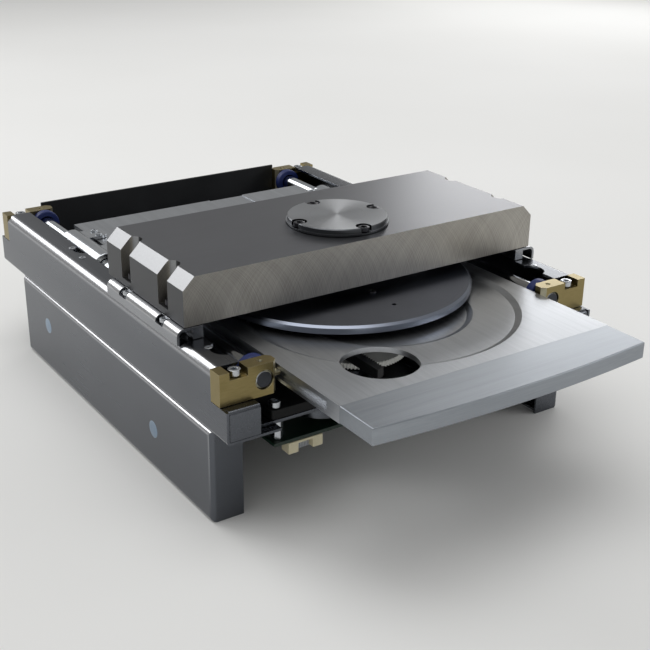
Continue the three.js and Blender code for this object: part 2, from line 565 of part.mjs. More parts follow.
// Guide rods: ground steel bars on which the tray's bearing sleeves run
const ROD_END_INSET = 0.3;
const ROD_CHAMFER = 0.6;
const guideRod = turned([
  [0, FRONT_BLOCK_FACE + ROD_END_INSET], [ROD_RADIUS - ROD_CHAMFER, FRONT_BLOCK_FACE + ROD_END_INSET],
  [ROD_RADIUS, FRONT_BLOCK_FACE + ROD_END_INSET + ROD_CHAMFER], [ROD_RADIUS, REAR_BLOCK_FACE - ROD_END_INSET - ROD_CHAMFER],
  [ROD_RADIUS - ROD_CHAMFER, REAR_BLOCK_FACE - ROD_END_INSET], [0, REAR_BLOCK_FACE - ROD_END_INSET],
]);
const laidRod = solid(geometryOf(guideRod).rotateX(-Math.PI / 2));
place('guide_rod_left', laidRod, polishedSteel, model, [-ROD_X, 0, ROD_Z]);
place('guide_rod_right', laidRod, polishedSteel, model, [ROD_X, 0, ROD_Z]);

// Tray: its own frame has its origin under the middle of the disc's recess
const FINGER_HOLE_RADIUS = 16.7;
const FINGER_HOLE_X = -34.8;
const FINGER_HOLE_Y = -47.7;
const FINGER_EDGE = 3.7; // thickness of the plate round the finger hole
const FINGER_POCKET_RADIUS = 21.5; // of the pocket under the hole
const FINGER_POCKET_SHIFT = [2.7, 3.6]; // from the hole's middle to the pocket's
const HUB_RIM_RADIUS = 12.5;
const SLOT_CLEARANCE = 1.5; // round the clamp hub, in the tray's slot
const GROOVE_FRONT = 60.9; // from the middle of the recess to the groove's front end
const GROOVE_REAR = 90;
const GROOVE_CLEARANCE = 0.35;
const GROOVE_DEPTH = 2.2;
const CHANNEL_LEFT = 11.6;
const CHANNEL_RIGHT = 33.2;
const CHANNEL_DEPTH = 0.5;
const CHANNEL_LENGTH = 36;

function trayPlate() {
  const slab = block(-TRAY_HALF, TRAY_HALF, -TRAY_FRONT_REACH, TRAY_REAR, TRAY_BOTTOM, TRAY_TOP);
  const recessFloor = TRAY_TOP - RECESS_DEPTH;
  const smallFloor = recessFloor - SMALL_RECESS_DEPTH;
  const recess = turned([
    [0, smallFloor], [SMALL_RECESS_RADIUS - SMALL_RECESS_RIM, smallFloor], [SMALL_RECESS_RADIUS, recessFloor],
    [RECESS_FLOOR_RADIUS, recessFloor], [RECESS_RADIUS, TRAY_TOP], [RECESS_RADIUS, TRAY_TOP + OVERRUN],
    [0, TRAY_TOP + OVERRUN],
  ], LARGE_ROUND);
  const through = [TRAY_BOTTOM - OVERRUN, TRAY_TOP + OVERRUN];
  const fingerHole = post(FINGER_HOLE_X, FINGER_HOLE_Y, FINGER_HOLE_RADIUS, ...through, 2 * MIDDLE_ROUND);
  const fingerPocket = post(
    FINGER_HOLE_X + FINGER_POCKET_SHIFT[0], FINGER_HOLE_Y + FINGER_POCKET_SHIFT[1], FINGER_POCKET_RADIUS,
    TRAY_BOTTOM - OVERRUN, TRAY_TOP - FINGER_EDGE, 2 * MIDDLE_ROUND,
  );
  const slotRadius = HUB_RIM_RADIUS + SLOT_CLEARANCE;
  const slot = joined(
    post(0, 0, slotRadius, ...through, MIDDLE_ROUND),
    block(-slotRadius, slotRadius, 0, TRAY_TRAVEL, ...through),
    post(0, TRAY_TRAVEL, slotRadius, ...through, MIDDLE_ROUND),
  );
  const grooveHalf = GUIDE_PIN_RADIUS + GROOVE_CLEARANCE;
  const grooveZ = ROD_Z + GROOVE_RISE;
  const groove = (inner, outer) => joined(
    pin(-GROOVE_FRONT, grooveZ, grooveHalf, inner, outer),
    block(inner, outer, -GROOVE_FRONT, GROOVE_REAR, grooveZ - grooveHalf, grooveZ + grooveHalf),
  );
  const channel = block(
    CHANNEL_LEFT, CHANNEL_RIGHT, TRAY_REAR - CHANNEL_LENGTH, TRAY_REAR + OVERRUN, TRAY_TOP - CHANNEL_DEPTH, TRAY_TOP + OVERRUN,
  );
  return cut(
    slab, recess, fingerHole, fingerPocket, slot, channel,
    groove(-TRAY_HALF - OVERRUN, -TRAY_HALF + GROOVE_DEPTH), groove(TRAY_HALF - GROOVE_DEPTH, TRAY_HALF + OVERRUN),
  );
}
place('tray_plate', trayPlate(), brushedAluminium, tray);

// Front panel of the tray: a bar with a slightly bowed face, bare of lettering
const BOW_STEPS = 12;
function trayFront() {
  const back = -TRAY_FRONT_REACH - GAP;
  const corner = back - PANEL_DEPTH;
  const bowRadius = TRAY_HALF ** 2 / (2 * PANEL_BULGE) + PANEL_BULGE / 2;
  const layer = (inset) => {
    const half = TRAY_HALF - inset;
    const points = [new THREE.Vector2(half, back), new THREE.Vector2(-half, back)];
    for (let step = 0; step <= BOW_STEPS; step += 1) {
      const x = -half + (2 * half * step) / BOW_STEPS;
      const bulge = PANEL_BULGE - (bowRadius - Math.sqrt(bowRadius ** 2 - x ** 2));
      points.push(new THREE.Vector2(x, corner - bulge + inset));
    }
    return points;
  };
  const whole = layer(0);
  const top = layer(PANEL_EDGE);
  const body = upright(whole, TRAY_BOTTOM, TRAY_TOP);
  const bevel = new THREE.Shape(top);
  const middle = solid(new THREE.ExtrudeGeometry(bevel, {
    depth: TRAY_THICKNESS - 2 * PANEL_EDGE, bevelThickness: PANEL_EDGE, bevelSize: PANEL_EDGE, bevelSegments: 1,
  }).translate(0, 0, TRAY_BOTTOM + PANEL_EDGE));
  return body.intersect(middle);
}
place('tray_front', trayFront(), brushedAluminium, tray);

// Bearing sleeves: run on the guide rods and carry the tray, which hangs on their tabs
const SLEEVE_RADIUS = 7;
const SLEEVE_LENGTH = 44;
const SLEEVE_STOP_GAP = 0.4; // to the rear bumper when the tray is closed
const TAB_WIDTH = 15;
const TAB_LENGTH = 12;
const TAB_THICKNESS = 1.5;
const TAB_INSET = 3;
const TAB_CORNER = 4;
const TAB_SCREW_RADIUS = 1.3;
const sleeveRear = REAR_BLOCK_FACE - BLOCK_DEPTH - GAP - BUMPER_LENGTH - SLEEVE_STOP_GAP;
const sleeveFront = sleeveRear - SLEEVE_LENGTH;

function bearingSleeve() {
  const tabLow = TRAY_TOP + GAP;
  const tab = (front) => cut(
    upright(roundedPlate(-ROD_X, -ROD_X + SLEEVE_RADIUS + TAB_WIDTH / 2, front, front + TAB_LENGTH, TAB_CORNER), tabLow, tabLow + TAB_THICKNESS),
    ...[-1, 1].map((side) => post(
      -TRAY_HALF + TAB_SCREW_RADIUS * 2, front + TAB_LENGTH / 2 + (side * TAB_LENGTH) / 4, TAB_SCREW_RADIUS,
      tabLow - OVERRUN, tabLow + OVERRUN + TAB_THICKNESS,
    )),
  );
  const sleeve = bar(-ROD_X, ROD_Z, SLEEVE_RADIUS, sleeveFront, sleeveRear, MIDDLE_ROUND);
  const bore = bar(-ROD_X, ROD_Z, ROD_RADIUS + GAP, sleeveFront - OVERRUN, sleeveRear + OVERRUN, MIDDLE_ROUND);
  return cut(joined(sleeve, tab(sleeveFront + TAB_INSET), tab(sleeveRear - TAB_INSET - TAB_LENGTH)), bore);
}
const leftSleeve = bearingSleeve();
place('bearing_sleeve_left', leftSleeve, polishedSteel, tray);
place('bearing_sleeve_right', mirrored(leftSleeve), polishedSteel, tray);

// Loading gears: a motor pinion turns the large gear, whose upper pinion drives the tray's rack
const MODULE = 0.5;
const PRESSURE = (20 * Math.PI) / 180;
const ADDENDUM = 0.8 * MODULE;
const DEDENDUM = 1.25 * MODULE;
const BACKLASH = 0.5 * MODULE;
const LARGE_TEETH = 88;
const UPPER_TEETH = 48;
const MOTOR_TEETH = 24;
const GEAR_X = -15;
const GEAR_Y = -38.7;
const MOTOR_BEARING = (200 * Math.PI) / 180; // direction from the large gear to the motor
const UPPER_PITCH_RADIUS = (MODULE * UPPER_TEETH) / 2;
const PITCH = Math.PI * MODULE;
const RACK_BACK = 4; // thickness behind the rack's teeth
const RACK_HEIGHT = 4.5;
const RACK_SPARE = 2.5; // rack beyond the pinion at each end of the travel
const LARGE_GEAR_HEIGHT = 2.5;
const GEAR_STEP = 1;
const AXLE_RADIUS = 2.5;
const AXLE_SHOULDER_RADIUS = 5;
const AXLE_FLANGE_RADIUS = 8;
const AXLE_FLANGE_SHARE = 0.28; // of the height between the base plate and the large gear
const PINION_RUNNING_GAP = 0.6; // between the upper pinion and the tray

const upperHigh = TRAY_BOTTOM - PINION_RUNNING_GAP;
const upperLow = upperHigh - RACK_HEIGHT;
const largeHigh = upperLow - GEAR_STEP;
const largeLow = largeHigh - LARGE_GEAR_HEIGHT;

// Involute outline of a spur gear, with one tooth pointing in the given direction
function gearOutline(teeth, direction) {
  const pitchRadius = (MODULE * teeth) / 2;
  const baseRadius = pitchRadius * Math.cos(PRESSURE);
  const involute = (radius) => {
    const angle = Math.acos(Math.min(1, baseRadius / radius));
    return Math.tan(angle) - angle;
  };
  const toothHalf = Math.PI / (2 * teeth) - BACKLASH / (4 * pitchRadius);
  const halfAt = (radius) => toothHalf + involute(pitchRadius) - involute(Math.max(radius, baseRadius));
  const radii = [pitchRadius - DEDENDUM, pitchRadius + ADDENDUM];
  const points = [];
  for (let tooth = 0; tooth < teeth; tooth += 1) {
    const middle = direction + (2 * Math.PI * tooth) / teeth;
    const flank = (radius, side) => {
      const angle = middle + side * halfAt(radius);
      points.push(new THREE.Vector2(radius * Math.cos(angle), radius * Math.sin(angle)));
    };
    radii.forEach((radius) => flank(radius, -1));
    radii.toReversed().forEach((radius) => flank(radius, 1));
  }
  return points;
}

place('loading_gear', cut(
  joined(
    upright(gearOutline(LARGE_TEETH, MOTOR_BEARING), largeLow, largeHigh),
    post(0, 0, AXLE_SHOULDER_RADIUS, largeLow, upperHigh),
    upright(gearOutline(UPPER_TEETH, Math.PI), upperLow, upperHigh),
  ),
  post(0, 0, AXLE_RADIUS + GAP, largeLow - OVERRUN, upperHigh + OVERRUN),
), whitePlastic, model, [GEAR_X, GEAR_Y, 0]);
place('gear_axle', joined(
  post(0, 0, AXLE_FLANGE_RADIUS, BASE_TOP + GAP, BASE_TOP + GAP + (largeLow - BASE_TOP) * AXLE_FLANGE_SHARE),
  post(0, 0, AXLE_SHOULDER_RADIUS, BASE_TOP + GAP, largeLow - GAP),
  post(0, 0, AXLE_RADIUS, BASE_TOP + GAP, upperHigh),
), polishedSteel, model, [GEAR_X, GEAR_Y, 0]);

function rack() {
  const pitchX = GEAR_X - UPPER_PITCH_RADIUS;
  const first = GEAR_Y - RACK_SPARE;
  const last = GEAR_Y + TRAY_TRAVEL + RACK_SPARE;
  const teethBefore = Math.floor(RACK_SPARE / PITCH);
  const teethAfter = Math.floor((TRAY_TRAVEL + RACK_SPARE) / PITCH);
  const open = GEAR_Y + TRAY_OPEN_AT_REST; // where the pinion stands, in the tray's frame
  const flare = Math.tan(PRESSURE);
  const half = PITCH / 4 - BACKLASH / 4;
  const points = [new THREE.Vector2(pitchX - RACK_BACK, last), new THREE.Vector2(pitchX - RACK_BACK, first)];
  const shift = Math.round(TRAY_OPEN_AT_REST / PITCH);
  for (let tooth = -teethBefore - shift; tooth < teethAfter - shift; tooth += 1) {
    const y = open + (tooth + 1 / 2) * PITCH;
    if (y - PITCH / 2 < first || y + PITCH / 2 > last) continue;
    points.push(
      new THREE.Vector2(pitchX - DEDENDUM, y - half - DEDENDUM * flare),
      new THREE.Vector2(pitchX + ADDENDUM, y - half + ADDENDUM * flare),
      new THREE.Vector2(pitchX + ADDENDUM, y + half - ADDENDUM * flare),
      new THREE.Vector2(pitchX - DEDENDUM, y + half + DEDENDUM * flare),
    );
  }
  return upright(points, TRAY_BOTTOM - GAP - RACK_HEIGHT, TRAY_BOTTOM - GAP);
}
place('tray_rack', rack(), blackPlastic, tray);

// Loading motor: a flat motor under the base plate, with its pinion above
const LOADING_MOTOR_RADIUS = 12;
const LOADING_MOTOR_HEIGHT = 9;
const LOADING_SHAFT_RADIUS = 1.2;
const PINION_OVERLAP = 0.8; // how far the motor pinion stands past the large gear's faces
const motorDistance = (MODULE * (LARGE_TEETH + MOTOR_TEETH)) / 2;
const motorX = GEAR_X + motorDistance * Math.cos(MOTOR_BEARING);
const motorY = GEAR_Y + motorDistance * Math.sin(MOTOR_BEARING);
const loadingMotorTop = BASE_BOTTOM - GAP;
const shaftRoot = loadingMotorTop - LOADING_MOTOR_HEIGHT / 2;
place('loading_motor', cut(
  post(0, 0, LOADING_MOTOR_RADIUS, loadingMotorTop - LOADING_MOTOR_HEIGHT, loadingMotorTop, MIDDLE_ROUND),
  post(0, 0, LOADING_SHAFT_RADIUS + GAP, shaftRoot - GAP, loadingMotorTop + OVERRUN),
), satinSteel, model, [motorX, motorY, 0]);
const pinionOutline = gearOutline(MOTOR_TEETH, MOTOR_BEARING + Math.PI + Math.PI / MOTOR_TEETH);
place('motor_pinion', joined(
  upright(pinionOutline, largeLow - PINION_OVERLAP, largeHigh + PINION_OVERLAP),
  post(0, 0, LOADING_SHAFT_RADIUS, shaftRoot, largeHigh),
), blackPlastic, model, [motorX, motorY, 0]);

// Clamp: a hub that rises through the tray's slot and lifts the disc to the turntable
const HUB_NOSE_RADIUS = 7.4; // enters the disc's hole
const HUB_NOSE_HEIGHT = 3;
const HUB_NOSE_TAPER = 1.2;
const HUB_RIM_HEIGHT = 3.4;
const HUB_STEM_RADIUS = 2.6;
const HUB_STEM_LENGTH = 18;
const LIFTER_TUBE_RADIUS = 5;
const HUB_PARKED_GAP = 2; // between the parked hub and the tray
const GUIDE_RADIUS = 8;
const GUIDE_FLANGE_RADIUS = 11;
const GUIDE_FLANGE_SHARE = 0.29; // of the guide's height
const GUIDE_HUB_GAP = 1.9; // between the guide and the parked hub
const hubTop = TRAY_BOTTOM - HUB_PARKED_GAP;
const hubRimTop = hubTop - HUB_NOSE_HEIGHT;
const hubRimBottom = hubRimTop - HUB_RIM_HEIGHT;
const stemBottom = hubRimBottom - HUB_STEM_LENGTH;
place('clamp_hub', turned([
  [0, stemBottom], [HUB_STEM_RADIUS, stemBottom], [HUB_STEM_RADIUS, hubRimBottom], [HUB_RIM_RADIUS, hubRimBottom],
  [HUB_RIM_RADIUS, hubRimTop], [HUB_NOSE_RADIUS, hubRimTop], [HUB_NOSE_RADIUS, hubTop - HUB_NOSE_TAPER],
  [HUB_NOSE_RADIUS - HUB_NOSE_TAPER, hubTop], [0, hubTop],
]), blackPlastic);
place('clamp_lifter', turned([
  [HUB_STEM_RADIUS + GAP, stemBottom], [LIFTER_TUBE_RADIUS, stemBottom],
  [LIFTER_TUBE_RADIUS, hubRimBottom - GAP], [HUB_STEM_RADIUS + GAP, hubRimBottom - GAP],
  [HUB_STEM_RADIUS + GAP, stemBottom],
]), brushedAluminium);
const guideBottom = BASE_TOP + GAP;
const guideTop = hubRimBottom - GUIDE_HUB_GAP;
const guideFlangeTop = guideBottom + (guideTop - guideBottom) * GUIDE_FLANGE_SHARE;
place('clamp_guide', turned([
  [LIFTER_TUBE_RADIUS + GAP, guideBottom], [GUIDE_FLANGE_RADIUS, guideBottom],
  [GUIDE_FLANGE_RADIUS, guideFlangeTop], [GUIDE_RADIUS, guideFlangeTop],
  [GUIDE_RADIUS, guideTop], [LIFTER_TUBE_RADIUS + GAP, guideTop],
  [LIFTER_TUBE_RADIUS + GAP, guideBottom],
]), polishedSteel);

// Pickup: a sled with the lens runs behind the spindle on two rods, driven by a feed screw
const SLED_TRAVEL = 34;
const LENS_HOME = 23; // from the spindle to the lens at the start of the disc
const SLED_AHEAD = 8; // sled in front of the lens
const SLED_LENGTH = 30;
const SLED_ROD_X = 22;
const SLED_ROD_RADIUS = 2;
const SLED_ROD_RISE = 5; // above the base plate
const SLED_SIDE = 4; // sled beyond its rods
const SLED_BOTTOM_GAP = 1.2;
const SLED_HEIGHT = 8;
const SLED_POST_HALF = 3.4;
const SLED_POST_DEPTH = 4;
const SLED_POST_TOP = 2; // post above the rod
const SLED_END_GAP = 3;
const FEED_X = 33;
const FEED_SCREW_RADIUS = 1.8;
const FEED_MOTOR_CLEARANCE = 2.5; // between the feed motor and the tray
const FEED_MOTOR_LENGTH = 18;
const FEED_ARM_LENGTH = 9;
const FEED_ARM_SIDE = 3.6;
const LENS_RADIUS = 3.2;
const LENS_HOLDER_RADIUS = 6;
const LENS_HOLDER_HEIGHT = 2;
const LENS_DOME = 1;

const rodZ = BASE_TOP + SLED_ROD_RISE;
const feedMotorRadius = (TRAY_BOTTOM - FEED_MOTOR_CLEARANCE - BASE_TOP - GAP) / 2;
const feedZ = BASE_TOP + GAP + feedMotorRadius;
const sledFront = LENS_HOME - SLED_AHEAD;
const sledBack = sledFront + SLED_LENGTH;
const frontPost = sledFront - SLED_END_GAP - SLED_POST_DEPTH;
const rearPost = sledBack + SLED_TRAVEL + SLED_END_GAP;
const sledLow = BASE_TOP + SLED_BOTTOM_GAP;
const sledHigh = sledLow + SLED_HEIGHT;
place('pickup_sled', cut(
  joined(
    block(-SLED_ROD_X - SLED_SIDE, SLED_ROD_X + SLED_SIDE, sledFront, sledBack, sledLow, sledHigh),
    block(SLED_ROD_X, FEED_X + FEED_ARM_SIDE, sledFront, sledFront + FEED_ARM_LENGTH, sledLow, feedZ + FEED_ARM_SIDE),
  ),
  bar(-SLED_ROD_X, rodZ, SLED_ROD_RADIUS + GAP, sledFront - OVERRUN, sledBack + OVERRUN),
  bar(SLED_ROD_X, rodZ, SLED_ROD_RADIUS + GAP, sledFront - OVERRUN, sledBack + OVERRUN),
  bar(FEED_X, feedZ, FEED_SCREW_RADIUS + GAP, sledFront - OVERRUN, sledFront + FEED_ARM_LENGTH + OVERRUN),
), blackPlastic);
place('pickup_lens', turned([
  [0, 0], [LENS_HOLDER_RADIUS, 0], [LENS_HOLDER_RADIUS, LENS_HOLDER_HEIGHT], [LENS_RADIUS, LENS_HOLDER_HEIGHT],
  [LENS_RADIUS / 2, LENS_HOLDER_HEIGHT + LENS_DOME * 3 / 4], [0, LENS_HOLDER_HEIGHT + LENS_DOME],
]), lensGlass, model, [0, LENS_HOME, sledHigh + GAP]);
[['left', -SLED_ROD_X], ['right', SLED_ROD_X]].forEach(([side, x]) => place(
  `sled_rod_${side}`, bar(x, rodZ, SLED_ROD_RADIUS, frontPost + GAP, rearPost + SLED_POST_DEPTH - GAP), polishedSteel,
));
const feedMotorFront = rearPost + SLED_POST_DEPTH + GAP;
place('feed_screw', bar(FEED_X, feedZ, FEED_SCREW_RADIUS, frontPost + GAP, feedMotorFront - GAP), polishedSteel);
place('feed_motor', bar(FEED_X, feedZ, feedMotorRadius, feedMotorFront, feedMotorFront + FEED_MOTOR_LENGTH, MIDDLE_ROUND), satinSteel);

// Base plate: carries the drive and the pickup between the side frames
const BASE_HALF_INSET = 16.5; // from the side frames' outer face to the base plate's edge
const BASE_FRONT_INSET = 4;
function basePlate() {
  const half = FRAME_HALF - BASE_HALF_INSET;
  const plate = block(-half, half, -FRAME_FRONT_REACH + BASE_FRONT_INSET, FRAME_REAR_REACH, BASE_BOTTOM, BASE_TOP);
  const holder = (x, y, axisZ, radius, topZ) => cut(
    block(x - SLED_POST_HALF, x + SLED_POST_HALF, y, y + SLED_POST_DEPTH, BASE_TOP - BASE_THICKNESS / 2, topZ),
    bar(x, axisZ, radius + GAP, y - OVERRUN, y + SLED_POST_DEPTH + OVERRUN),
  );
  const rodHolders = [-SLED_ROD_X, SLED_ROD_X].flatMap((x) => [frontPost, rearPost].map((y) =>
    holder(x, y, rodZ, SLED_ROD_RADIUS, rodZ + SLED_ROD_RADIUS + SLED_POST_TOP)));
  const screwHolders = [frontPost, rearPost].map((y) =>
    holder(FEED_X, y, feedZ, FEED_SCREW_RADIUS, feedZ + FEED_SCREW_RADIUS + SLED_POST_TOP));
  const stemHole = post(0, 0, LIFTER_TUBE_RADIUS + GAP, BASE_BOTTOM - OVERRUN, BASE_TOP + OVERRUN, MIDDLE_ROUND);
  const motorHole = post(motorX, motorY, LOADING_SHAFT_RADIUS + GAP, BASE_BOTTOM - OVERRUN, BASE_TOP + OVERRUN);
  return cut(joined(plate, ...rodHolders, ...screwHolders), stemHole, motorHole);
}
place('base_plate', basePlate(), satinSteel);

// Rear panel: a black plate that closes the back between the side frames
const PANEL_SIDE_INSET = 23.5;
const PANEL_RISE = 0.8;
place('rear_panel', block(
  -FRAME_HALF + PANEL_SIDE_INSET, FRAME_HALF - PANEL_SIDE_INSET, FRAME_REAR_REACH - SHEET, FRAME_REAR_REACH,
  BASE_TOP + GAP, FRAME_TOP + PANEL_RISE,
), blackPlastic);

// Tray switch: a black housing with its screw, at the front left of the base plate
const SWITCH_WIDTH = 22;
const SWITCH_DEPTH = 17;
const SWITCH_HEIGHT = 4.2;
const SWITCH_SIDE_INSET = 23;
const SWITCH_FRONT_INSET = 4;
const SWITCH_SCREW_INSET = 3.4;
const SWITCH_CORNER = 1;
const switchLeft = -FRAME_HALF + SWITCH_SIDE_INSET;
const switchFront = -FRAME_FRONT_REACH + SWITCH_FRONT_INSET;
place('tray_switch', cut(
  upright(roundedPlate(switchLeft, switchLeft + SWITCH_WIDTH, switchFront, switchFront + SWITCH_DEPTH, SWITCH_CORNER), BASE_TOP + GAP, BASE_TOP + GAP + SWITCH_HEIGHT),
  post(switchLeft + SWITCH_SCREW_INSET, switchFront + SWITCH_SCREW_INSET, SCREW_HOLE_RADIUS, BASE_TOP, BASE_TOP + SWITCH_HEIGHT + OVERRUN),
), blackPlastic);
place('switch_screw', screwShape(SWITCH_HEIGHT - GAP), polishedSteel, model, [
  switchLeft + SWITCH_SCREW_INSET, switchFront + SWITCH_SCREW_INSET, BASE_TOP + GAP + SWITCH_HEIGHT + GAP,
]);

// Control board: hangs under the base plate on standoffs, with a connector on its underside
const BOARD_DROP = 13.2; // from the base plate's underside to the board's top
const BOARD_THICKNESS = 1.6;
const BOARD_LEFT = -71.8;
const BOARD_RIGHT = 32;
const BOARD_FRONT = -60.2;
const BOARD_BACK = -8;
const STANDOFF_RADIUS = 2.5;
const STANDOFF_INSET = 4;
const CONNECTOR_LEFT = -64.7;
const CONNECTOR_WIDTH = 17.3;
const CONNECTOR_HEIGHT = 5.4;
const CONNECTOR_DEPTH = 5.8;
const CONNECTOR_END = 5; // width of its end walls
const CONNECTOR_WALL = 1.2;
const boardTop = BASE_BOTTOM - BOARD_DROP;
place('control_board', block(BOARD_LEFT, BOARD_RIGHT, BOARD_FRONT, BOARD_BACK, boardTop - BOARD_THICKNESS, boardTop), boardGreen);
[['left', BOARD_LEFT + STANDOFF_INSET], ['right', BOARD_RIGHT - STANDOFF_INSET]].forEach(([side, x]) => place(
  `board_standoff_${side}`, post(x, BOARD_FRONT + STANDOFF_INSET, STANDOFF_RADIUS, boardTop + GAP, BASE_BOTTOM - GAP, 6), polishedSteel,
));
function boardConnector() {
  const high = boardTop - BOARD_THICKNESS - GAP;
  const right = CONNECTOR_LEFT + CONNECTOR_WIDTH;
  const body = block(CONNECTOR_LEFT, right, BOARD_FRONT, BOARD_FRONT + CONNECTOR_DEPTH, high - CONNECTOR_HEIGHT, high);
  const between = block(
    CONNECTOR_LEFT + CONNECTOR_END, right - CONNECTOR_END, BOARD_FRONT - OVERRUN, BOARD_FRONT + CONNECTOR_DEPTH - CONNECTOR_WALL,
    high - CONNECTOR_HEIGHT - OVERRUN, high - CONNECTOR_WALL,
  );
  return cut(body, between);
}
place('board_connector', boardConnector(), creamPlastic);

// The origin stands on the floor under the middle of the whole length
const trayFrontTip = TRAY_OPEN_AT_REST + TRAY_FRONT_REACH + GAP + PANEL_DEPTH + PANEL_BULGE;
model.position.y = (trayFrontTip - FRAME_REAR_REACH) / 2;

export default model;
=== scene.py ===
# Tray transport of a disc player, bare of its cabinet, with the tray part open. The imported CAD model
# gives every place and size; each section makes one piece, or a group of like pieces, as it looks.
import json
import math

import bmesh
import bpy
from mathutils import Matrix, Vector

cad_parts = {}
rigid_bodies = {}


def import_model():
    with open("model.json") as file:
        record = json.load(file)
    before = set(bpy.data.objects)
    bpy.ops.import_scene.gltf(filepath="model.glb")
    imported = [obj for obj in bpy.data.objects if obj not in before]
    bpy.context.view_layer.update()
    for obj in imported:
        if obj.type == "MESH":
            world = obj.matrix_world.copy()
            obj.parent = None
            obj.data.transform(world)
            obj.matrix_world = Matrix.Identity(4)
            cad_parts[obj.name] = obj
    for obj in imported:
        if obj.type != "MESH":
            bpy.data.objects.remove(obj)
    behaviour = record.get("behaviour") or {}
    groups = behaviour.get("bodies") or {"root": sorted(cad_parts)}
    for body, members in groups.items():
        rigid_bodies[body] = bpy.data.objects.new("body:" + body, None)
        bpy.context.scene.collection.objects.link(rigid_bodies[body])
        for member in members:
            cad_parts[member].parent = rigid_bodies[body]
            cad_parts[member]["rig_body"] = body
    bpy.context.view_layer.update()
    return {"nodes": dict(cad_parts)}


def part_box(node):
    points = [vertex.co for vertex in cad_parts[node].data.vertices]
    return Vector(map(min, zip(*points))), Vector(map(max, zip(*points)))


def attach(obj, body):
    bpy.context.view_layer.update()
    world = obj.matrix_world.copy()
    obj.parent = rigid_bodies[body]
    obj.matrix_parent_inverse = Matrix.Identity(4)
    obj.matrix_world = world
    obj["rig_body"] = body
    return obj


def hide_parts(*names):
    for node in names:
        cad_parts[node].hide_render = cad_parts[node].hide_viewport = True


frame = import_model()
MM = 0.001

# Camera: stands at the front left and above, close to the mechanism, and is turned a little about
# its own axis, as in the photograph. Its lens looks straight ahead, with no shift.
CAMERA_PLACE = (-0.292753, -0.448649, 0.269294)
CAMERA_AZIMUTH = math.radians(-34.140)
CAMERA_ELEVATION = math.radians(23.306)
CAMERA_ROLL = math.radians(0.692)
CAMERA_LENS = 64.07
CAMERA_SENSOR = 36.0
CAMERA_NEAR = 0.01

back = Vector((
    math.sin(CAMERA_AZIMUTH) * math.cos(CAMERA_ELEVATION),
    -math.cos(CAMERA_AZIMUTH) * math.cos(CAMERA_ELEVATION),
    math.sin(CAMERA_ELEVATION),
))
level = Vector((math.cos(CAMERA_AZIMUTH), math.sin(CAMERA_AZIMUTH), 0.0))
upright = back.cross(level)
right = math.cos(CAMERA_ROLL) * level + math.sin(CAMERA_ROLL) * upright
up = math.cos(CAMERA_ROLL) * upright - math.sin(CAMERA_ROLL) * level
camera = bpy.data.objects.new("camera", bpy.data.cameras.new("camera"))
camera.data.sensor_width = CAMERA_SENSOR
camera.data.lens = CAMERA_LENS
camera.data.clip_start = CAMERA_NEAR
camera.matrix_world = Matrix.Translation(CAMERA_PLACE) @ Matrix((right, up, back)).transposed().to_4x4()
bpy.context.scene.collection.objects.link(camera)
bpy.context.scene.camera = camera


# Lower plates: two legs folded from steel sheet and plated to a satin blue grey, with flanges at the top,
# foot and ends, and a painted highlight along their bends. Their rivets were set flush and ground off.
def tone(code):
    """A colour written as a web code, as the shader takes it: the sRGB curve is undone."""
    parts = [int(code[i:i + 2], 16) / 255 for i in (0, 2, 4)]
    return tuple(c / 12.92 if c <= 0.04045 else ((c + 0.055) / 1.055) ** 2.4 for c in parts) + (1.0,)


class Signal:
    """Wraps a socket of a shader node, so that an expression on it adds its Math nodes."""

    def __init__(self, finish, socket):
        self.finish = finish
        self.socket = socket

    def combined(self, operation, first, second=0.0):
        return self.finish.node("ShaderNodeMath", {"operation": operation}, {0: first, 1: second})

    def __add__(self, other):
        return self.combined("ADD", self, other)

    def __radd__(self, other):
        return self.combined("ADD", other, self)

    def __sub__(self, other):
        return self.combined("SUBTRACT", self, other)

    def __rsub__(self, other):
        return self.combined("SUBTRACT", other, self)

    def __mul__(self, other):
        return self.combined("MULTIPLY", self, other)

    def __rmul__(self, other):
        return self.combined("MULTIPLY", other, self)

    def __pow__(self, other):
        return self.combined("POWER", self, other)

    def __gt__(self, other):
        return self.combined("GREATER_THAN", self, other)

    def __abs__(self):
        return self.combined("ABSOLUTE", self)

    def capped(self):
        return self.finish.node("ShaderNodeClamp", {}, {"Value": self})


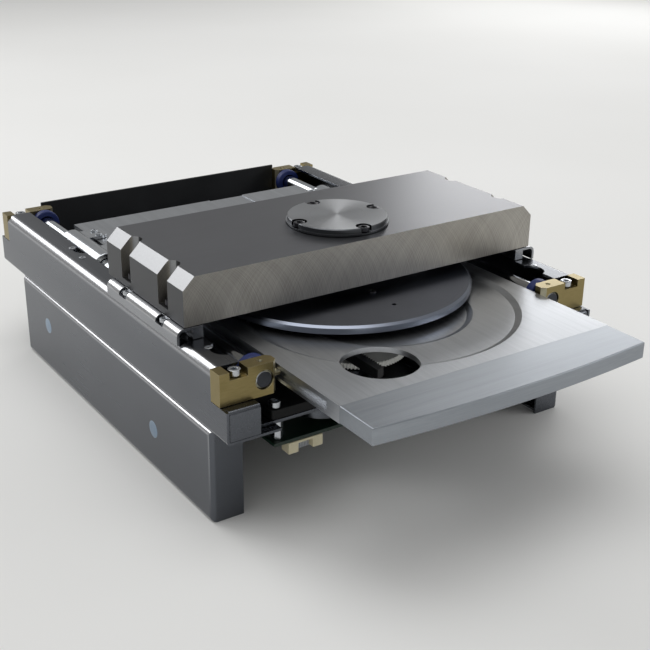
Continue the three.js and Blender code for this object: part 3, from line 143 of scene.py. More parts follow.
class Finish:
    """A material: the shader's fixed values, and nodes for what changes over the surface."""

    def __init__(self, name, fixed):
        self.material = bpy.data.materials.new(name)
        self.material.use_nodes = True
        self.tree = self.material.node_tree
        self.shader = self.tree.nodes["Principled BSDF"]
        for socket, value in fixed.items():
            self.shader.inputs[socket].default_value = value
        self.place = self.node("ShaderNodeTexCoord", {}, {}, "Object")

    def node(self, kind, settings, sockets, output=0):
        made = self.tree.nodes.new(kind)
        for name, value in settings.items():
            setattr(made, name, value)
        for name, value in sockets.items():
            if isinstance(value, Signal):
                self.tree.links.new(value.socket, made.inputs[name])
            else:
                made.inputs[name].default_value = value
        return Signal(self, made.outputs[output])

    def mixed(self, share, first, second):
        """A colour between two web codes or signals, the first where share is 0."""
        first, second = (tone(c) if isinstance(c, str) else c for c in (first, second))
        # A Mix node's colour sockets are its inputs 6 and 7 and its output 2.
        return self.node("ShaderNodeMix", {"data_type": "RGBA"}, {0: share, 6: first, 7: second}, 2)

    def noise(self, place, detail, roughness=0.5):
        return self.node("ShaderNodeTexNoise", {}, {
            "Vector": place, "Scale": 1.0, "Detail": detail, "Roughness": roughness,
        })

    def grain(self, cells, detail=2.0, roughness=0.5):
        """Noise from 0 to 1, with this many cells a metre, either way or along x, y and z."""
        scale = cells if isinstance(cells, tuple) else (cells, cells, cells)
        return self.noise(
            self.node("ShaderNodeMapping", {}, {"Vector": self.place, "Scale": scale}), detail, roughness,
        )

    def streaks(self, reach):
        """Noise from 0 to 1 that changes with one measure only, one cell for each whole number."""
        return self.noise(self.node("ShaderNodeCombineXYZ", {}, {"X": reach, "Y": 0.0, "Z": 0.0}), 3.0)

    def along(self, axis):
        return self.node("ShaderNodeSeparateXYZ", {}, {0: self.place}, axis)

    def facing(self, axis):
        """How far the surface faces along an axis of the piece, either way, from 0 to 1."""
        normal = self.node("ShaderNodeTexCoord", {}, {}, "Normal")
        return abs(self.node("ShaderNodeSeparateXYZ", {}, {0: normal}, axis))

    def feed(self, socket, signal):
        self.tree.links.new(signal.socket, self.shader.inputs[socket])

    def raise_by(self, height, distance):
        """Bump: height from 0 to 1 stands for this distance in metres."""
        self.feed("Normal", self.node("ShaderNodeBump", {}, {"Height": height, "Distance": distance}))


def satin_plate(name, dark, light, fold_highlight):
    """Plated steel sheet, with a painted highlight where its sides bend over to its top and foot."""
    finish = Finish(name, {"Metallic": 1.0})
    cloud = finish.grain(14.0)
    rolled = finish.grain((500.0, 40.0, 500.0))
    # Where a side bends over to the top or foot, the colour turns to the light tone given last: a painted
    # highlight.
    fold_highlight_share = (finish.facing("X") * finish.facing("Z") * 2.6).capped()
    plain = finish.mixed(cloud * 0.85 + rolled * 0.15, dark, light)
    finish.feed("Base Color", finish.mixed(fold_highlight_share, plain, fold_highlight))
    finish.feed("Roughness", 0.22 + 0.05 * cloud + 0.04 * rolled)
    finish.raise_by(rolled, 0.0003 * MM)
    return finish.material


SATIN_STEEL = satin_plate("satin_steel", "55585D", "6B6E74", "B9BABD")
SOFT_ANGLE = math.radians(35)
FLAT_ANGLE = math.radians(0.6)
CAD_WELD = 0.001 * MM


def edged(mesh, width, steps=2, above=SOFT_ANGLE, joint=None):
    """Rounds the edges that are sharper than an angle, but for those in a joint's plane y = joint."""
    sharp = [e for e in mesh.edges if e.is_manifold and e.calc_face_angle() > above]
    if joint is not None:
        near = width / 10
        sharp = [e for e in sharp if max(abs(v.co.y - joint) for v in e.verts) > near]
    bmesh.ops.bevel(
        mesh, geom=sharp, offset=width, offset_type="OFFSET", segments=steps, profile=0.5,
        affect="EDGES", clamp_overlap=True, miter_outer="ARC", miter_inner="SHARP",
    )
    return mesh


def added(name, mesh, material, carrier):
    """Makes a piece that rides with the body of a CAD node."""
    bmesh.ops.recalc_face_normals(mesh, faces=mesh.faces)
    data = bpy.data.meshes.new(name)
    mesh.to_mesh(data)
    mesh.free()
    data.shade_smooth()
    data.set_sharp_from_angle(angle=SOFT_ANGLE)
    data.materials.append(material)
    piece = bpy.data.objects.new(name, data)
    bpy.context.scene.collection.objects.link(piece)
    evened = piece.modifiers.new("even shading", "WEIGHTED_NORMAL")
    evened.keep_sharp = True
    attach(piece, frame["nodes"][carrier]["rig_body"])
    return piece


def finished(node, mesh, material):
    """Makes the piece that stands for a CAD node."""
    piece = added(node + "_made", mesh, material, node)
    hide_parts(node)


def from_cad(node, width, material, steps=2):
    """Makes the piece for a CAD node from its own shape, with whole flat faces and rounded edges."""
    mesh = bmesh.new()
    mesh.from_mesh(frame["nodes"][node].data)
    bmesh.ops.remove_doubles(mesh, verts=mesh.verts, dist=CAD_WELD)
    bmesh.ops.dissolve_limit(mesh, angle_limit=FLAT_ANGLE, verts=mesh.verts, edges=mesh.edges)
    finished(node, edged(mesh, width, steps), material)


def turned(profile, steps=72):
    """A body of revolution about the z axis, from its (radius, height) points."""
    mesh = bmesh.new()
    rings = []
    for radius, height in profile:
        if radius == 0:
            rings.append([mesh.verts.new((0.0, 0.0, height))])
        else:
            rings.append([
                mesh.verts.new((
                    radius * math.cos(2 * math.pi * step / steps),
                    radius * math.sin(2 * math.pi * step / steps),
                    height,
                )) for step in range(steps)
            ])
    if profile[0][0] > 0:
        rings.append(rings[0])
    for low, high in zip(rings, rings[1:]):
        for step in range(steps):
            corners = [
                low[step % len(low)], low[(step + 1) % len(low)],
                high[(step + 1) % len(high)], high[step % len(high)],
            ]
            mesh.faces.new(list(dict.fromkeys(corners)))
    return mesh


def placed(mesh, place, turn=None):
    if turn is not None:
        bmesh.ops.transform(mesh, matrix=turn, verts=mesh.verts)
    bmesh.ops.translate(mesh, vec=place, verts=mesh.verts)
    return mesh


SHEET_EDGE = 0.22 * MM
RIVET_RADIUS = 4.0 * MM
RIVET_TOP = 3.6 * MM
RIVET_RISE = 0.12 * MM
RIVETS = (("rear", 34.0 * MM, 26.0 * MM), ("front", 157.8 * MM, 20.7 * MM))
FACE_LEFT = Matrix.Rotation(-math.pi / 2, 4, "Y")
FACE_RIGHT = Matrix.Rotation(math.pi / 2, 4, "Y")
RIVET_STEEL = satin_plate("rivet_steel", "7F93A8", "93A5B8", "AAB8C8")
for side, facing in (("left", FACE_LEFT), ("right", FACE_RIGHT)):
    leg = f"lower_plate_{side}"
    from_cad(leg, SHEET_EDGE, SATIN_STEEL)
    low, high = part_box(leg)
    outer = low.x if side == "left" else high.x
    for where, from_rear, height in RIVETS:
        rivet = placed(turned([
            (0, RIVET_RISE), (RIVET_TOP, RIVET_RISE), (RIVET_RADIUS, 0), (0, -RIVET_RISE),
        ]), (outer, high.y - from_rear, height), facing)
        added(f"rivet_{side}_{where}", rivet, RIVET_STEEL, leg)


# Side frames: two long channels folded from the same plated sheet, which stand on the legs and carry
# the rods' end blocks on their shelves. Small low socket screws hold what hangs inside them.
FLANGE_SCREW = dict(head=1.7 * MM, height=0.35 * MM, across=1.7 * MM, depth=0.28 * MM, shank=0.85 * MM)
FLANGE_SCREWS = (
    ("rear", 9.4 * MM, 174.1 * MM),
    ("middle", 8.3 * MM, 158.5 * MM),
    ("front", 9.2 * MM, 30.9 * MM),
)
BRIGHT_STEEL = ("A3A7AC", "D3D6DA")


def ground_steel(name, cells, roughness):
    finish = Finish(name, {"Metallic": 1.0})
    lines = finish.grain(cells)
    cloud = finish.grain(90.0)
    finish.feed("Base Color", finish.mixed(lines * 0.5 + cloud * 0.5, *BRIGHT_STEEL))
    finish.feed("Roughness", roughness + 0.1 * lines)
    finish.raise_by(lines, 0.002 * MM)
    return finish.material


SCREW_STEEL = ground_steel("screw_steel", cells=2200.0, roughness=0.18)


def banded(mesh, first, second):
    """Joins two rings of as many points with a band of faces."""
    for step in range(len(first)):
        after = (step + 1) % len(first)
        mesh.faces.new((first[step], first[after], second[after], second[step]))


def hexagon_ring(radius, steps, height):
    """Points round a hexagon socket, one for each step round the head."""
    points = []
    for step in range(steps):
        angle = 2 * math.pi * step / steps
        off = (angle % (math.pi / 3)) - math.pi / 6
        reach = radius / math.cos(off)
        points.append((reach * math.cos(angle), reach * math.sin(angle), height))
    return points


def socket_screw(head, height, across, depth, shank, length, steps=48):
    """A socket head screw that stands on the plane z = 0; head and shank are radii."""
    ease = head * 0.12
    mouth = ease * 0.4
    mesh = turned([
        (0, -length), (shank * 0.8, -length), (shank, -length + shank * 0.3), (shank, 0),
        (head - ease / 2, 0), (head, ease / 2), (head, height - ease),
        (head - ease * 0.3, height - ease * 0.3), (head - ease, height), (0, height),
    ], steps)
    crown = max(mesh.verts, key=lambda v: (v.co.z, -v.co.xy.length))
    bmesh.ops.delete(mesh, geom=[crown], context="VERTS")
    mesh.verts.ensure_lookup_table()
    rim = [v for v in mesh.verts if v.is_boundary]
    rim.sort(key=lambda v: math.atan2(v.co.y, v.co.x) % (2 * math.pi))
    rings = [rim]
    wall = across / 2
    for radius, z in ((wall + mouth, height), (wall, height - mouth), (wall, height - depth)):
        rings.append([mesh.verts.new(point) for point in hexagon_ring(radius, steps, z)])
    for outer_ring, inner_ring in zip(rings, rings[1:]):
        banded(mesh, outer_ring, inner_ring)
    bottom = mesh.verts.new((0, 0, height - depth - across * 0.15))
    for step in range(steps):
        mesh.faces.new((rings[-1][step], rings[-1][(step + 1) % steps], bottom))
    return mesh


def small_screw(name, sizes, length, seat, carrier, material=SCREW_STEEL):
    """Adds a screw that the CAD model doesn't have, with its head on a seat."""
    added(name, placed(socket_screw(length=length, **sizes), seat), material, carrier)


for side, sign in (("left", -1), ("right", 1)):
    channel = f"side_frame_{side}"
    from_cad(channel, SHEET_EDGE, SATIN_STEEL)
    low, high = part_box(channel)
    outer = max(abs(low.x), abs(high.x))
    for where, inset, from_front in FLANGE_SCREWS:
        small_screw(
            f"flange_screw_{side}_{where}", FLANGE_SCREW, FLANGE_SCREW["height"],
            (sign * (outer - inset), low.y + from_front, high.z), channel,
        )


# Base plate and rear panel: the base is a plated sheet with folded lugs for the pickup's rods, and
# the panel that closes the back is a sheet painted matt black.
BASE_EDGE = 0.2 * MM


def painted_black():
    finish = Finish("black_sheet", {"Specular IOR Level": 0.45})
    speck = finish.grain(1900.0, 3.0)
    cloud = finish.grain(60.0)
    finish.feed("Base Color", finish.mixed(speck * 0.6 + cloud * 0.4, "0E0F11", "25272A"))
    finish.feed("Roughness", 0.4 + 0.2 * cloud)
    finish.raise_by(speck, 0.03 * MM)
    return finish.material


from_cad("base_plate", BASE_EDGE, SATIN_STEEL)
from_cad("rear_panel", BASE_EDGE, painted_black())


# End blocks: four aluminium bars, anodised to a pale gold, each bored for a guide rod, with a set
# screw above it and a notch for the screw that holds the block down. The front two carry guide pins.
BLOCK_EDGE = 0.2 * MM
BLOCK_CHAMFER = 2.0 * MM
BLOCK_BORE = 4.3 * MM
BLOCK_BORE_INSET = 6.2 * MM
BLOCK_NOTCH = 8.4 * MM
BLOCK_NOTCH_DEPTH = 3.4 * MM
BLOCK_SCREW_INSET = 8.8 * MM
BLOCK_SHANK_HOLE = 1.7 * MM
SET_HOLE = 1.2 * MM
SET_SCREW_SINK = 1.9 * MM
SET_SCREW_TIP = 0.4 * MM
SET_SCREW = dict(head=1.1 * MM, height=1.2 * MM, across=0.9 * MM, depth=0.8 * MM, shank=1.0 * MM)
LARGE_SCREW = dict(head=2.7 * MM, height=2.6 * MM, across=2.5 * MM, depth=1.3 * MM, shank=1.4 * MM)
GUIDE_PIN_RADIUS = 1.7 * MM
GUIDE_PIN_EASE = 0.4 * MM
GUIDE_PIN_RISE = 0.3 * MM
GUIDE_PIN_STEPS = 36
SMALL_HOLE_STEPS = 24
OVERRUN = 2.0 * MM
CUT_WELD = 0.0005 * MM
FACE_BACK = Matrix.Rotation(-math.pi / 2, 4, "X")


def anodised_gold():
    finish = Finish("gold_anodised", {"Metallic": 1.0})
    lines = finish.grain((220.0, 1500.0, 1500.0), 3.0)
    cloud = finish.grain(70.0)
    x, y, z = (finish.facing(axis) for axis in "XYZ")
    # Bevels, which face two axes at once, turn to a pale gold: a painted highlight.
    edge_highlight = ((x * y + y * z + z * x) * 2.2).capped()
    plain = finish.mixed(lines * 0.5 + cloud * 0.5, "75683F", "A4956A")
    finish.feed("Base Color", finish.mixed(edge_highlight, plain, "EFE6C6"))
    finish.feed("Roughness", 0.26 + 0.14 * lines)
    finish.raise_by(lines, 0.006 * MM)
    return finish.material


def prism(outline, low, high):
    """An upright solid between two heights, on an outline in x and y."""
    mesh = bmesh.new()
    bottom = [mesh.verts.new((x, y, low)) for x, y in outline]
    top = [mesh.verts.new((x, y, high)) for x, y in outline]
    mesh.faces.new(bottom)
    mesh.faces.new(top)
    banded(mesh, bottom, top)
    bmesh.ops.recalc_face_normals(mesh, faces=mesh.faces)
    return mesh


def box(low, high):
    left, front, foot = low
    right, back, top = high
    return prism([(left, front), (right, front), (right, back), (left, back)], foot, top)


def drill(x, y, radius, low, high, steps=48):
    return placed(turned([(0, low), (radius, low), (radius, high), (0, high)], steps), (x, y, 0))


def worked(mesh, tools, operation="DIFFERENCE"):
    """Cuts the tools out of a solid, or joins them to it, with exact booleans."""
    made = []
    for shape in [mesh] + tools:
        bmesh.ops.recalc_face_normals(shape, faces=shape.faces)
        data = bpy.data.meshes.new("blank")
        shape.to_mesh(data)
        shape.free()
        blank = bpy.data.objects.new("blank", data)
        bpy.context.scene.collection.objects.link(blank)
        made.append(blank)
    for tool in made[1:]:
        step = made[0].modifiers.new("step", "BOOLEAN")
        step.operation = operation
        step.solver = "EXACT"
        step.object = tool
    graph = bpy.context.evaluated_depsgraph_get()
    result = bpy.data.meshes.new_from_object(made[0].evaluated_get(graph))
    shaped = bmesh.new()
    shaped.from_mesh(result)
    bpy.data.meshes.remove(result)
    for blank in made:
        data = blank.data
        bpy.data.objects.remove(blank)
        bpy.data.meshes.remove(data)
    bmesh.ops.remove_doubles(shaped, verts=shaped.verts, dist=CUT_WELD)
    bmesh.ops.dissolve_limit(shaped, angle_limit=FLAT_ANGLE, verts=shaped.verts, edges=shaped.edges)
    return shaped


def seated_screw(node, sizes, material):
    """Makes a CAD screw's piece, as tall as the CAD screw."""
    low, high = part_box(node)
    middle = (low + high) / 2
    seat = high.z - sizes["height"]
    screw = socket_screw(length=seat - low.z, **sizes)
    finished(node, placed(screw, (middle.x, middle.y, seat)), material)


GOLD_ANODISED = anodised_gold()
for where in ("front_left", "front_right", "rear_left", "rear_right"):
    end, side = where.split("_")
    sign, inward = (-1, FACE_RIGHT) if side == "left" else (1, FACE_LEFT)
    node = f"end_block_{where}"
    low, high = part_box(node)
    outer = max(abs(low.x), abs(high.x))
    rod_low, rod_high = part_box(f"guide_rod_{side}")
    rod_x = (rod_low.x + rod_high.x) / 2
    rod_z = (rod_low.z + rod_high.z) / 2
    inner = abs(rod_x) - BLOCK_BORE_INSET
    chamfered = inner + BLOCK_CHAMFER
    outline = [
        (sign * inner, low.y + BLOCK_CHAMFER), (sign * chamfered, low.y), (sign * outer, low.y),
        (sign * outer, high.y), (sign * chamfered, high.y), (sign * inner, high.y - BLOCK_CHAMFER),
    ]
    screw_x = sign * (outer - BLOCK_SCREW_INSET)
    middle_y = (low.y + high.y) / 2
    past = high.y - low.y + OVERRUN
    bore = turned([(0, -OVERRUN), (BLOCK_BORE, -OVERRUN), (BLOCK_BORE, past), (0, past)])
    notch = box(
        (screw_x - BLOCK_NOTCH / 2, low.y - OVERRUN, high.z - BLOCK_NOTCH_DEPTH),
        (screw_x + BLOCK_NOTCH / 2, high.y + OVERRUN, high.z + OVERRUN),
    )
    body = edged(worked(prism(outline, low.z, high.z), [
        placed(bore, (rod_x, low.y, rod_z), FACE_BACK),
        notch,
        drill(rod_x, middle_y, SET_HOLE, rod_z, high.z + OVERRUN, SMALL_HOLE_STEPS),
        drill(screw_x, middle_y, BLOCK_SHANK_HOLE, low.z - OVERRUN, high.z, SMALL_HOLE_STEPS),
    ]), BLOCK_EDGE)
    if end == "front":
        reach = inner - min(abs(low.x), abs(high.x))
        pin = turned([
            (0, -BLOCK_CHAMFER / 2), (GUIDE_PIN_RADIUS, -BLOCK_CHAMFER / 2),
            (GUIDE_PIN_RADIUS, reach - GUIDE_PIN_EASE), (GUIDE_PIN_RADIUS - GUIDE_PIN_EASE, reach),
            (0, reach),
        ], GUIDE_PIN_STEPS)
        foot = (sign * inner, middle_y, rod_z + GUIDE_PIN_RISE)
        body = worked(body, [placed(pin, foot, inward)], "UNION")
    finished(node, body, GOLD_ANODISED)
    seated_screw(f"block_screw_{where}", LARGE_SCREW, SCREW_STEEL)
    small_screw(
        f"set_screw_{where}", SET_SCREW, SET_SCREW_TIP, (rod_x, middle_y, high.z - SET_SCREW_SINK), node,
    )


# Guide rods and bumpers: ground and polished steel bars with chamfered ends, and a blue rubber ring
# on each against its end block, which the bearing sleeve meets at the end of its travel.
ROD_CHAMFER = 0.6 * MM
ROD_STEPS = 96
BUMPER_GAP = 0.3 * MM
BUMPER_ROUND = 0.8 * MM
ROUNDING_ROOM = 0.45
SQUARE_ON = 0.9


def polished_rod():
    finish = Finish("rod_steel", {"Metallic": 1.0})
    lines = finish.grain((1800.0, 60.0, 1800.0))
    # Faces that look along y, the rods' ends, are a dark grey: a painted shade. They are rougher too.
    end = finish.facing("Y") > SQUARE_ON
    ground = finish.mixed(lines, *BRIGHT_STEEL)
    finish.feed("Base Color", finish.mixed(end, ground, "414347"))
    finish.feed("Roughness", 0.08 + 0.08 * lines + 0.2 * end)
    finish.raise_by(lines, 0.002 * MM)
    return finish.material


def blue_rubber():
    finish = Finish("blue_rubber", {"Specular IOR Level": 0.4})
    speck = finish.grain(1500.0, 3.0)
    cloud = finish.grain(150.0)
    finish.feed("Base Color", finish.mixed(speck * 0.4 + cloud * 0.6, "0E1941", "1C2E6E"))
    finish.feed("Roughness", 0.42 + 0.2 * cloud)
    finish.raise_by(speck, 0.02 * MM)
    return finish.material


def eased(points, radius, steps=3):
    """A closed outline with each corner rounded by an arc that its sides have room for."""
    result = []
    count = len(points)
    for i in range(count):
        before, corner, after = (Vector(points[(i + k) % count]) for k in (-1, 0, 1))
        back, ahead = before - corner, after - corner
        room = min(back.length, ahead.length) * ROUNDING_ROOM
        cut = min(radius / math.tan(back.angle(ahead) / 2), room)
        start = corner + back.normalized() * cut
        end = corner + ahead.normalized() * cut
        for step in range(steps + 1):
            share = step / steps
            result.append(tuple(
                (1 - share) ** 2 * start + 2 * share * (1 - share) * corner + share ** 2 * end
            ))
    return result


ROD_STEEL = polished_rod()
BLUE_RUBBER = blue_rubber()
for side in ("left", "right"):
    node = f"guide_rod_{side}"
    low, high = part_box(node)
    middle = (low + high) / 2
    radius = (high.z - low.z) / 2
    length = high.y - low.y
    rod = turned([
        (0, 0), (radius - ROD_CHAMFER, 0), (radius, ROD_CHAMFER), (radius, length - ROD_CHAMFER),
        (radius - ROD_CHAMFER, length), (0, length),
    ], ROD_STEPS)
    finished(node, placed(rod, (middle.x, low.y, middle.z), FACE_BACK), ROD_STEEL)
    hole = radius + BUMPER_GAP
    for end in ("front", "rear"):
        node = f"bumper_{end}_{side}"
        low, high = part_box(node)
        outer = (high.z - low.z) / 2
        length = high.y - low.y
        ring = turned(eased([(hole, 0), (outer, 0), (outer, length), (hole, length)], BUMPER_ROUND))
        finished(node, placed(ring, (middle.x, low.y, middle.z), FACE_BACK), BLUE_RUBBER)


# Risers: folded plated brackets between the side frames and the bridge, with a rounded top bend
# that windows are cut into. Their sheet was punched, so its edges are only slightly rounded.
RISER_EDGE = 0.18 * MM
RISER_WINDOWS = (16.6 * MM, 53.0 * MM)
RISER_SCREW = dict(head=1.9 * MM, height=1.6 * MM, across=1.5 * MM, depth=0.9 * MM, shank=1.2 * MM)
RISER_SCREW_INSET = 2.6 * MM
RISER_SCREW_DROP = 0.6 * MM
# The risers take a lighter copy of the plated steel: painted light that stands for the highlight their
# rounded top bend catches.
RISER_STEEL = satin_plate("riser_steel", "85878B", "A1A3A7", "C2C3C5")
for side, sign in (("left", -1), ("right", 1)):
    riser = f"riser_{side}"
    from_cad(riser, RISER_EDGE, RISER_STEEL)
    low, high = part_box(riser)
    frame_low, frame_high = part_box(f"side_frame_{side}")
    outer = max(abs(low.x), abs(high.x))
    seat = high.z - RISER_SCREW_DROP - RISER_SCREW["height"]
    for number, from_front in enumerate(RISER_WINDOWS, 1):
        small_screw(
            f"riser_screw_{side}_{number}", RISER_SCREW, seat - frame_high.z,
            (sign * (outer - RISER_SCREW_INSET), low.y + from_front, seat), riser,
        )


# Bridge: a beam milled from solid aluminium. Its top is ground fine, its front and back carry the
# arcs of a fly cutter, its ends are chamfered, and four screws sit in slots that open outwards.
BRIDGE_EDGE = 0.25 * MM
BRIDGE_CHAMFER = 5.5 * MM
BRIDGE_SLOT = 4.5 * MM
BRIDGE_SLOT_INSET = 3.8 * MM
BRIDGE_SLOT_FLOOR = 3.0 * MM
BRIDGE_BORE = 17.8 * MM
BORE_STEPS = 96
CUTTER_RADIUS = 36.0 * MM
CUTTER_DROP = 7.0 * MM
CUTTER_LINES = 1700.0
BROAD_LINES = (160.0, 120.0)


def milled_aluminium(low, high):
    finish = Finish("milled_aluminium", {"Metallic": 1.0})
    across = finish.along("X")
    height = finish.along("Z")
    front = finish.facing("Y") > SQUARE_ON
    top = finish.facing("Z") > SQUARE_ON
    end = finish.facing("X") > SQUARE_ON
    bevel = 1 - (front + top + end).capped()
    axis = low.z - CUTTER_DROP
    arc = (CUTTER_RADIUS ** 2 - (height - axis) * (height - axis)) ** 0.5
    one_way = across - arc
    other_way = across + arc
    patch = finish.grain(28.0)
    arcs = finish.streaks(one_way * CUTTER_LINES) * 0.5 + finish.streaks(other_way * CUTTER_LINES) * 0.5
    broad = (
        finish.streaks(one_way * BROAD_LINES[0]) * patch
        + finish.streaks(other_way * BROAD_LINES[1]) * (1 - patch)
    )
    ground = finish.grain((70.0, 1900.0, 1900.0), 3.0)
    cloud = finish.grain(12.0)
    flat = finish.mixed(ground * 0.6 + cloud * 0.4, "5B5C60", "7B7C80")
    cut_face = finish.mixed((arcs * 2.2 - 0.6).capped() * 0.55 + broad * 0.45, "55524D", "DAD6CE")
    # Chamfers and small bevels take a lighter grey than the top: a painted highlight.
    bright = finish.mixed(ground, "8C8D8F", "A4A5A7")
    sawn = finish.mixed(ground * 0.5 + cloud * 0.5, "3C3D3F", "545557")
    plain = finish.mixed(end, finish.mixed(front, flat, cut_face), sawn)
    finish.feed("Base Color", finish.mixed(bevel, plain, bright))
    finish.feed("Roughness", 0.3 + 0.1 * ground + 0.06 * bevel + 0.05 * front)
    finish.raise_by(front * arcs * 0.8 + (1 - front) * ground * 0.35, 0.008 * MM)
    return finish.material


def across_prism(outline, front, back):
    """A solid from front to back, on an outline in x and z."""
    mesh = prism(outline, -back, -front)
    bmesh.ops.transform(mesh, matrix=Matrix.Rotation(math.pi / 2, 4, "X"), verts=mesh.verts)
    return mesh


def slotted(x, y, radius, sign, reach, low, high, steps=24):
    """A cutter for a slot that is round at its inner end and runs out sideways."""
    outline = [(x + sign * reach, y - radius), (x + sign * reach, y + radius)]
    for step in range(steps + 1):
        angle = math.pi / 2 + math.pi * step / steps
        outline.append((x + sign * radius * math.cos(angle), y + radius * math.sin(angle)))
    return prism(outline, low, high)


low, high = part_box("bridge_block")
half = high.x
beam = across_prism([
    (-half, low.z), (half, low.z), (half, high.z - BRIDGE_CHAMFER), (half - BRIDGE_CHAMFER, high.z),
    (-half + BRIDGE_CHAMFER, high.z), (-half, high.z - BRIDGE_CHAMFER),
], low.y, high.y)
table_low, table_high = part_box("turntable")
spindle_y = (table_low.y + table_high.y) / 2
cuts = [drill(0, spindle_y, BRIDGE_BORE, low.z - OVERRUN, high.z + OVERRUN, BORE_STEPS)]
for side, sign in (("left", -1), ("right", 1)):
    for end in ("front", "rear"):
        screw_low, screw_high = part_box(f"bridge_screw_{side}_{end}")
        cuts.append(slotted(
            sign * (half - BRIDGE_SLOT_INSET), (screw_low.y + screw_high.y) / 2, BRIDGE_SLOT, sign,
            BRIDGE_SLOT_INSET + OVERRUN, low.z + BRIDGE_SLOT_FLOOR, high.z + OVERRUN,
        ))
finished("bridge_block", edged(worked(beam, cuts), BRIDGE_EDGE), milled_aluminium(low, high))


# Bridge screws and cap screws: socket heads of blackened steel, the first at the bottom of the
# bridge's slots and the others round the cap, which they hold down.
CAP_SCREW = dict(head=2.7 * MM, height=1.9 * MM, across=2.5 * MM, depth=1.2 * MM, shank=1.4 * MM)


def black_oxide():
    finish = Finish("black_screw", {"Metallic": 1.0})
    speck = finish.grain(1600.0, 3.0)
    finish.feed("Base Color", finish.mixed(speck, "2A2A2D", "4B4B50"))
    finish.feed("Roughness", 0.24 + 0.2 * speck)
    finish.raise_by(speck, 0.006 * MM)
    return finish.material


BLACK_SCREW = black_oxide()
for side in ("left", "right"):
    for end in ("front", "rear"):
        seated_screw(f"bridge_screw_{side}_{end}", LARGE_SCREW, BLACK_SCREW)
for where in ("front", "rear", "left", "right"):
    seated_screw(f"cap_screw_{where}", CAP_SCREW, BLACK_SCREW)


# Motor cap: a turned aluminium disc on a thin foot, with four round notches for its screws. The
# turning tool's fine rings catch the light along two fans.
CAP_EDGE = 0.15 * MM
CAP_FOOT = 0.8 * MM
CAP_INSET = 0.6 * MM
CAP_EASE = 0.4 * MM
CAP_STEPS = 144
CAP_NOTCH = 3.6 * MM
CAP_NOTCH_RADIUS = 21.0 * MM
CAP_NOTCH_FLOOR = 0.7 * MM
FLAT_ON = 0.95


def turned_aluminium(name, centre, dark, light, rim_shade_and_highlight, rings, depth, sheen):
    """Turned metal with this many rings a metre on its flats, and one plain tone on rim and bevels, which
    paints light there: a darker tone paints shade, a lighter one a highlight.
    """
    finish = Finish(name, {"Metallic": 1.0, "Anisotropic": sheen})
    from_x = finish.along("X") - centre[0]
    from_y = finish.along("Y") - centre[1]
    ring = finish.streaks((from_x * from_x + from_y * from_y) ** 0.5 * rings)
    cloud = finish.grain(60.0)
    flat = finish.facing("Z") > FLAT_ON
    ringed = finish.mixed(ring * 0.7 + cloud * 0.3, dark, light)
    finish.feed("Base Color", finish.mixed(flat, rim_shade_and_highlight, ringed))
    finish.feed("Roughness", 0.24 + 0.1 * ring)
    finish.raise_by(ring, depth)
    return finish.material


low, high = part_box("motor_cap")
middle = (low + high) / 2
foot = (high.x - low.x) / 2
rim = foot - CAP_INSET
disc = placed(turned([
    (0, low.z), (foot, low.z), (foot, low.z + CAP_FOOT), (rim, low.z + CAP_FOOT), (rim, high.z - CAP_EASE),
    (rim - CAP_EASE, high.z), (0, high.z),
], CAP_STEPS), (middle.x, middle.y, 0))
notches = []
for quarter in range(4):
    angle = quarter * math.pi / 2
    notches.append(drill(
        middle.x + CAP_NOTCH_RADIUS * math.cos(angle), middle.y + CAP_NOTCH_RADIUS * math.sin(angle),
        CAP_NOTCH, low.z + CAP_NOTCH_FLOOR, high.z + OVERRUN,
    ))
# The cap's rim tone is darker than its rings: a painted shade on its side and bevels.
CAP_ALUMINIUM = turned_aluminium(
    "cap_aluminium", (middle.x, middle.y), "86888B", "B6B8BB", "5D5F62",
    rings=4200.0, depth=0.006 * MM, sheen=0.75,
)
finished("motor_cap", edged(worked(disc, notches), CAP_EDGE), CAP_ALUMINIUM)


# Spindle: the motor fills the bridge's bore, and its shaft carries the turntable, a thin aluminium
# disc, anodised a dark blue grey, with a turned bevel and three small screws; its rim and bevel carry a
# painted highlight.
SPINDLE_MOTOR_EDGE = 0.3 * MM
SHAFT_EDGE = 0.2 * MM
TABLE_TOP = 3.6 * MM
TABLE_BEVEL = 1.2 * MM
TABLE_RIM_TOP = 2.7 * MM
TABLE_EASE = 0.3 * MM
TABLE_EASE_MIDDLE = 0.09 * MM
TABLE_STEPS = 180
HUB_RADIUS = 8.3 * MM
HUB_HOLLOW = 2.2 * MM
HUB_EASE = 0.3 * MM
SHAFT_SEAT = 2.5 * MM
SHAFT_SEAT_FLOOR = 3.4 * MM
TABLE_HOLE = 1.1 * MM
TABLE_HOLE_RADIUS = 45.6 * MM
TABLE_SCREW = dict(head=1.9 * MM, height=0.9 * MM, across=1.5 * MM, depth=0.6 * MM, shank=1.0 * MM)
TABLE_SCREW_RADIUS = 28.8 * MM
TABLE_SCREW_TIP = 0.6 * MM
# The turntable's rim tone is lighter than its flats: a painted highlight on its rim, bevel and hub.
DARK_ANODISED = turned_aluminium(
    "dark_anodised", (0, spindle_y), "4F5461", "6E7482", "8D93A0",
    rings=1800.0, depth=0.002 * MM, sheen=0.5,
)

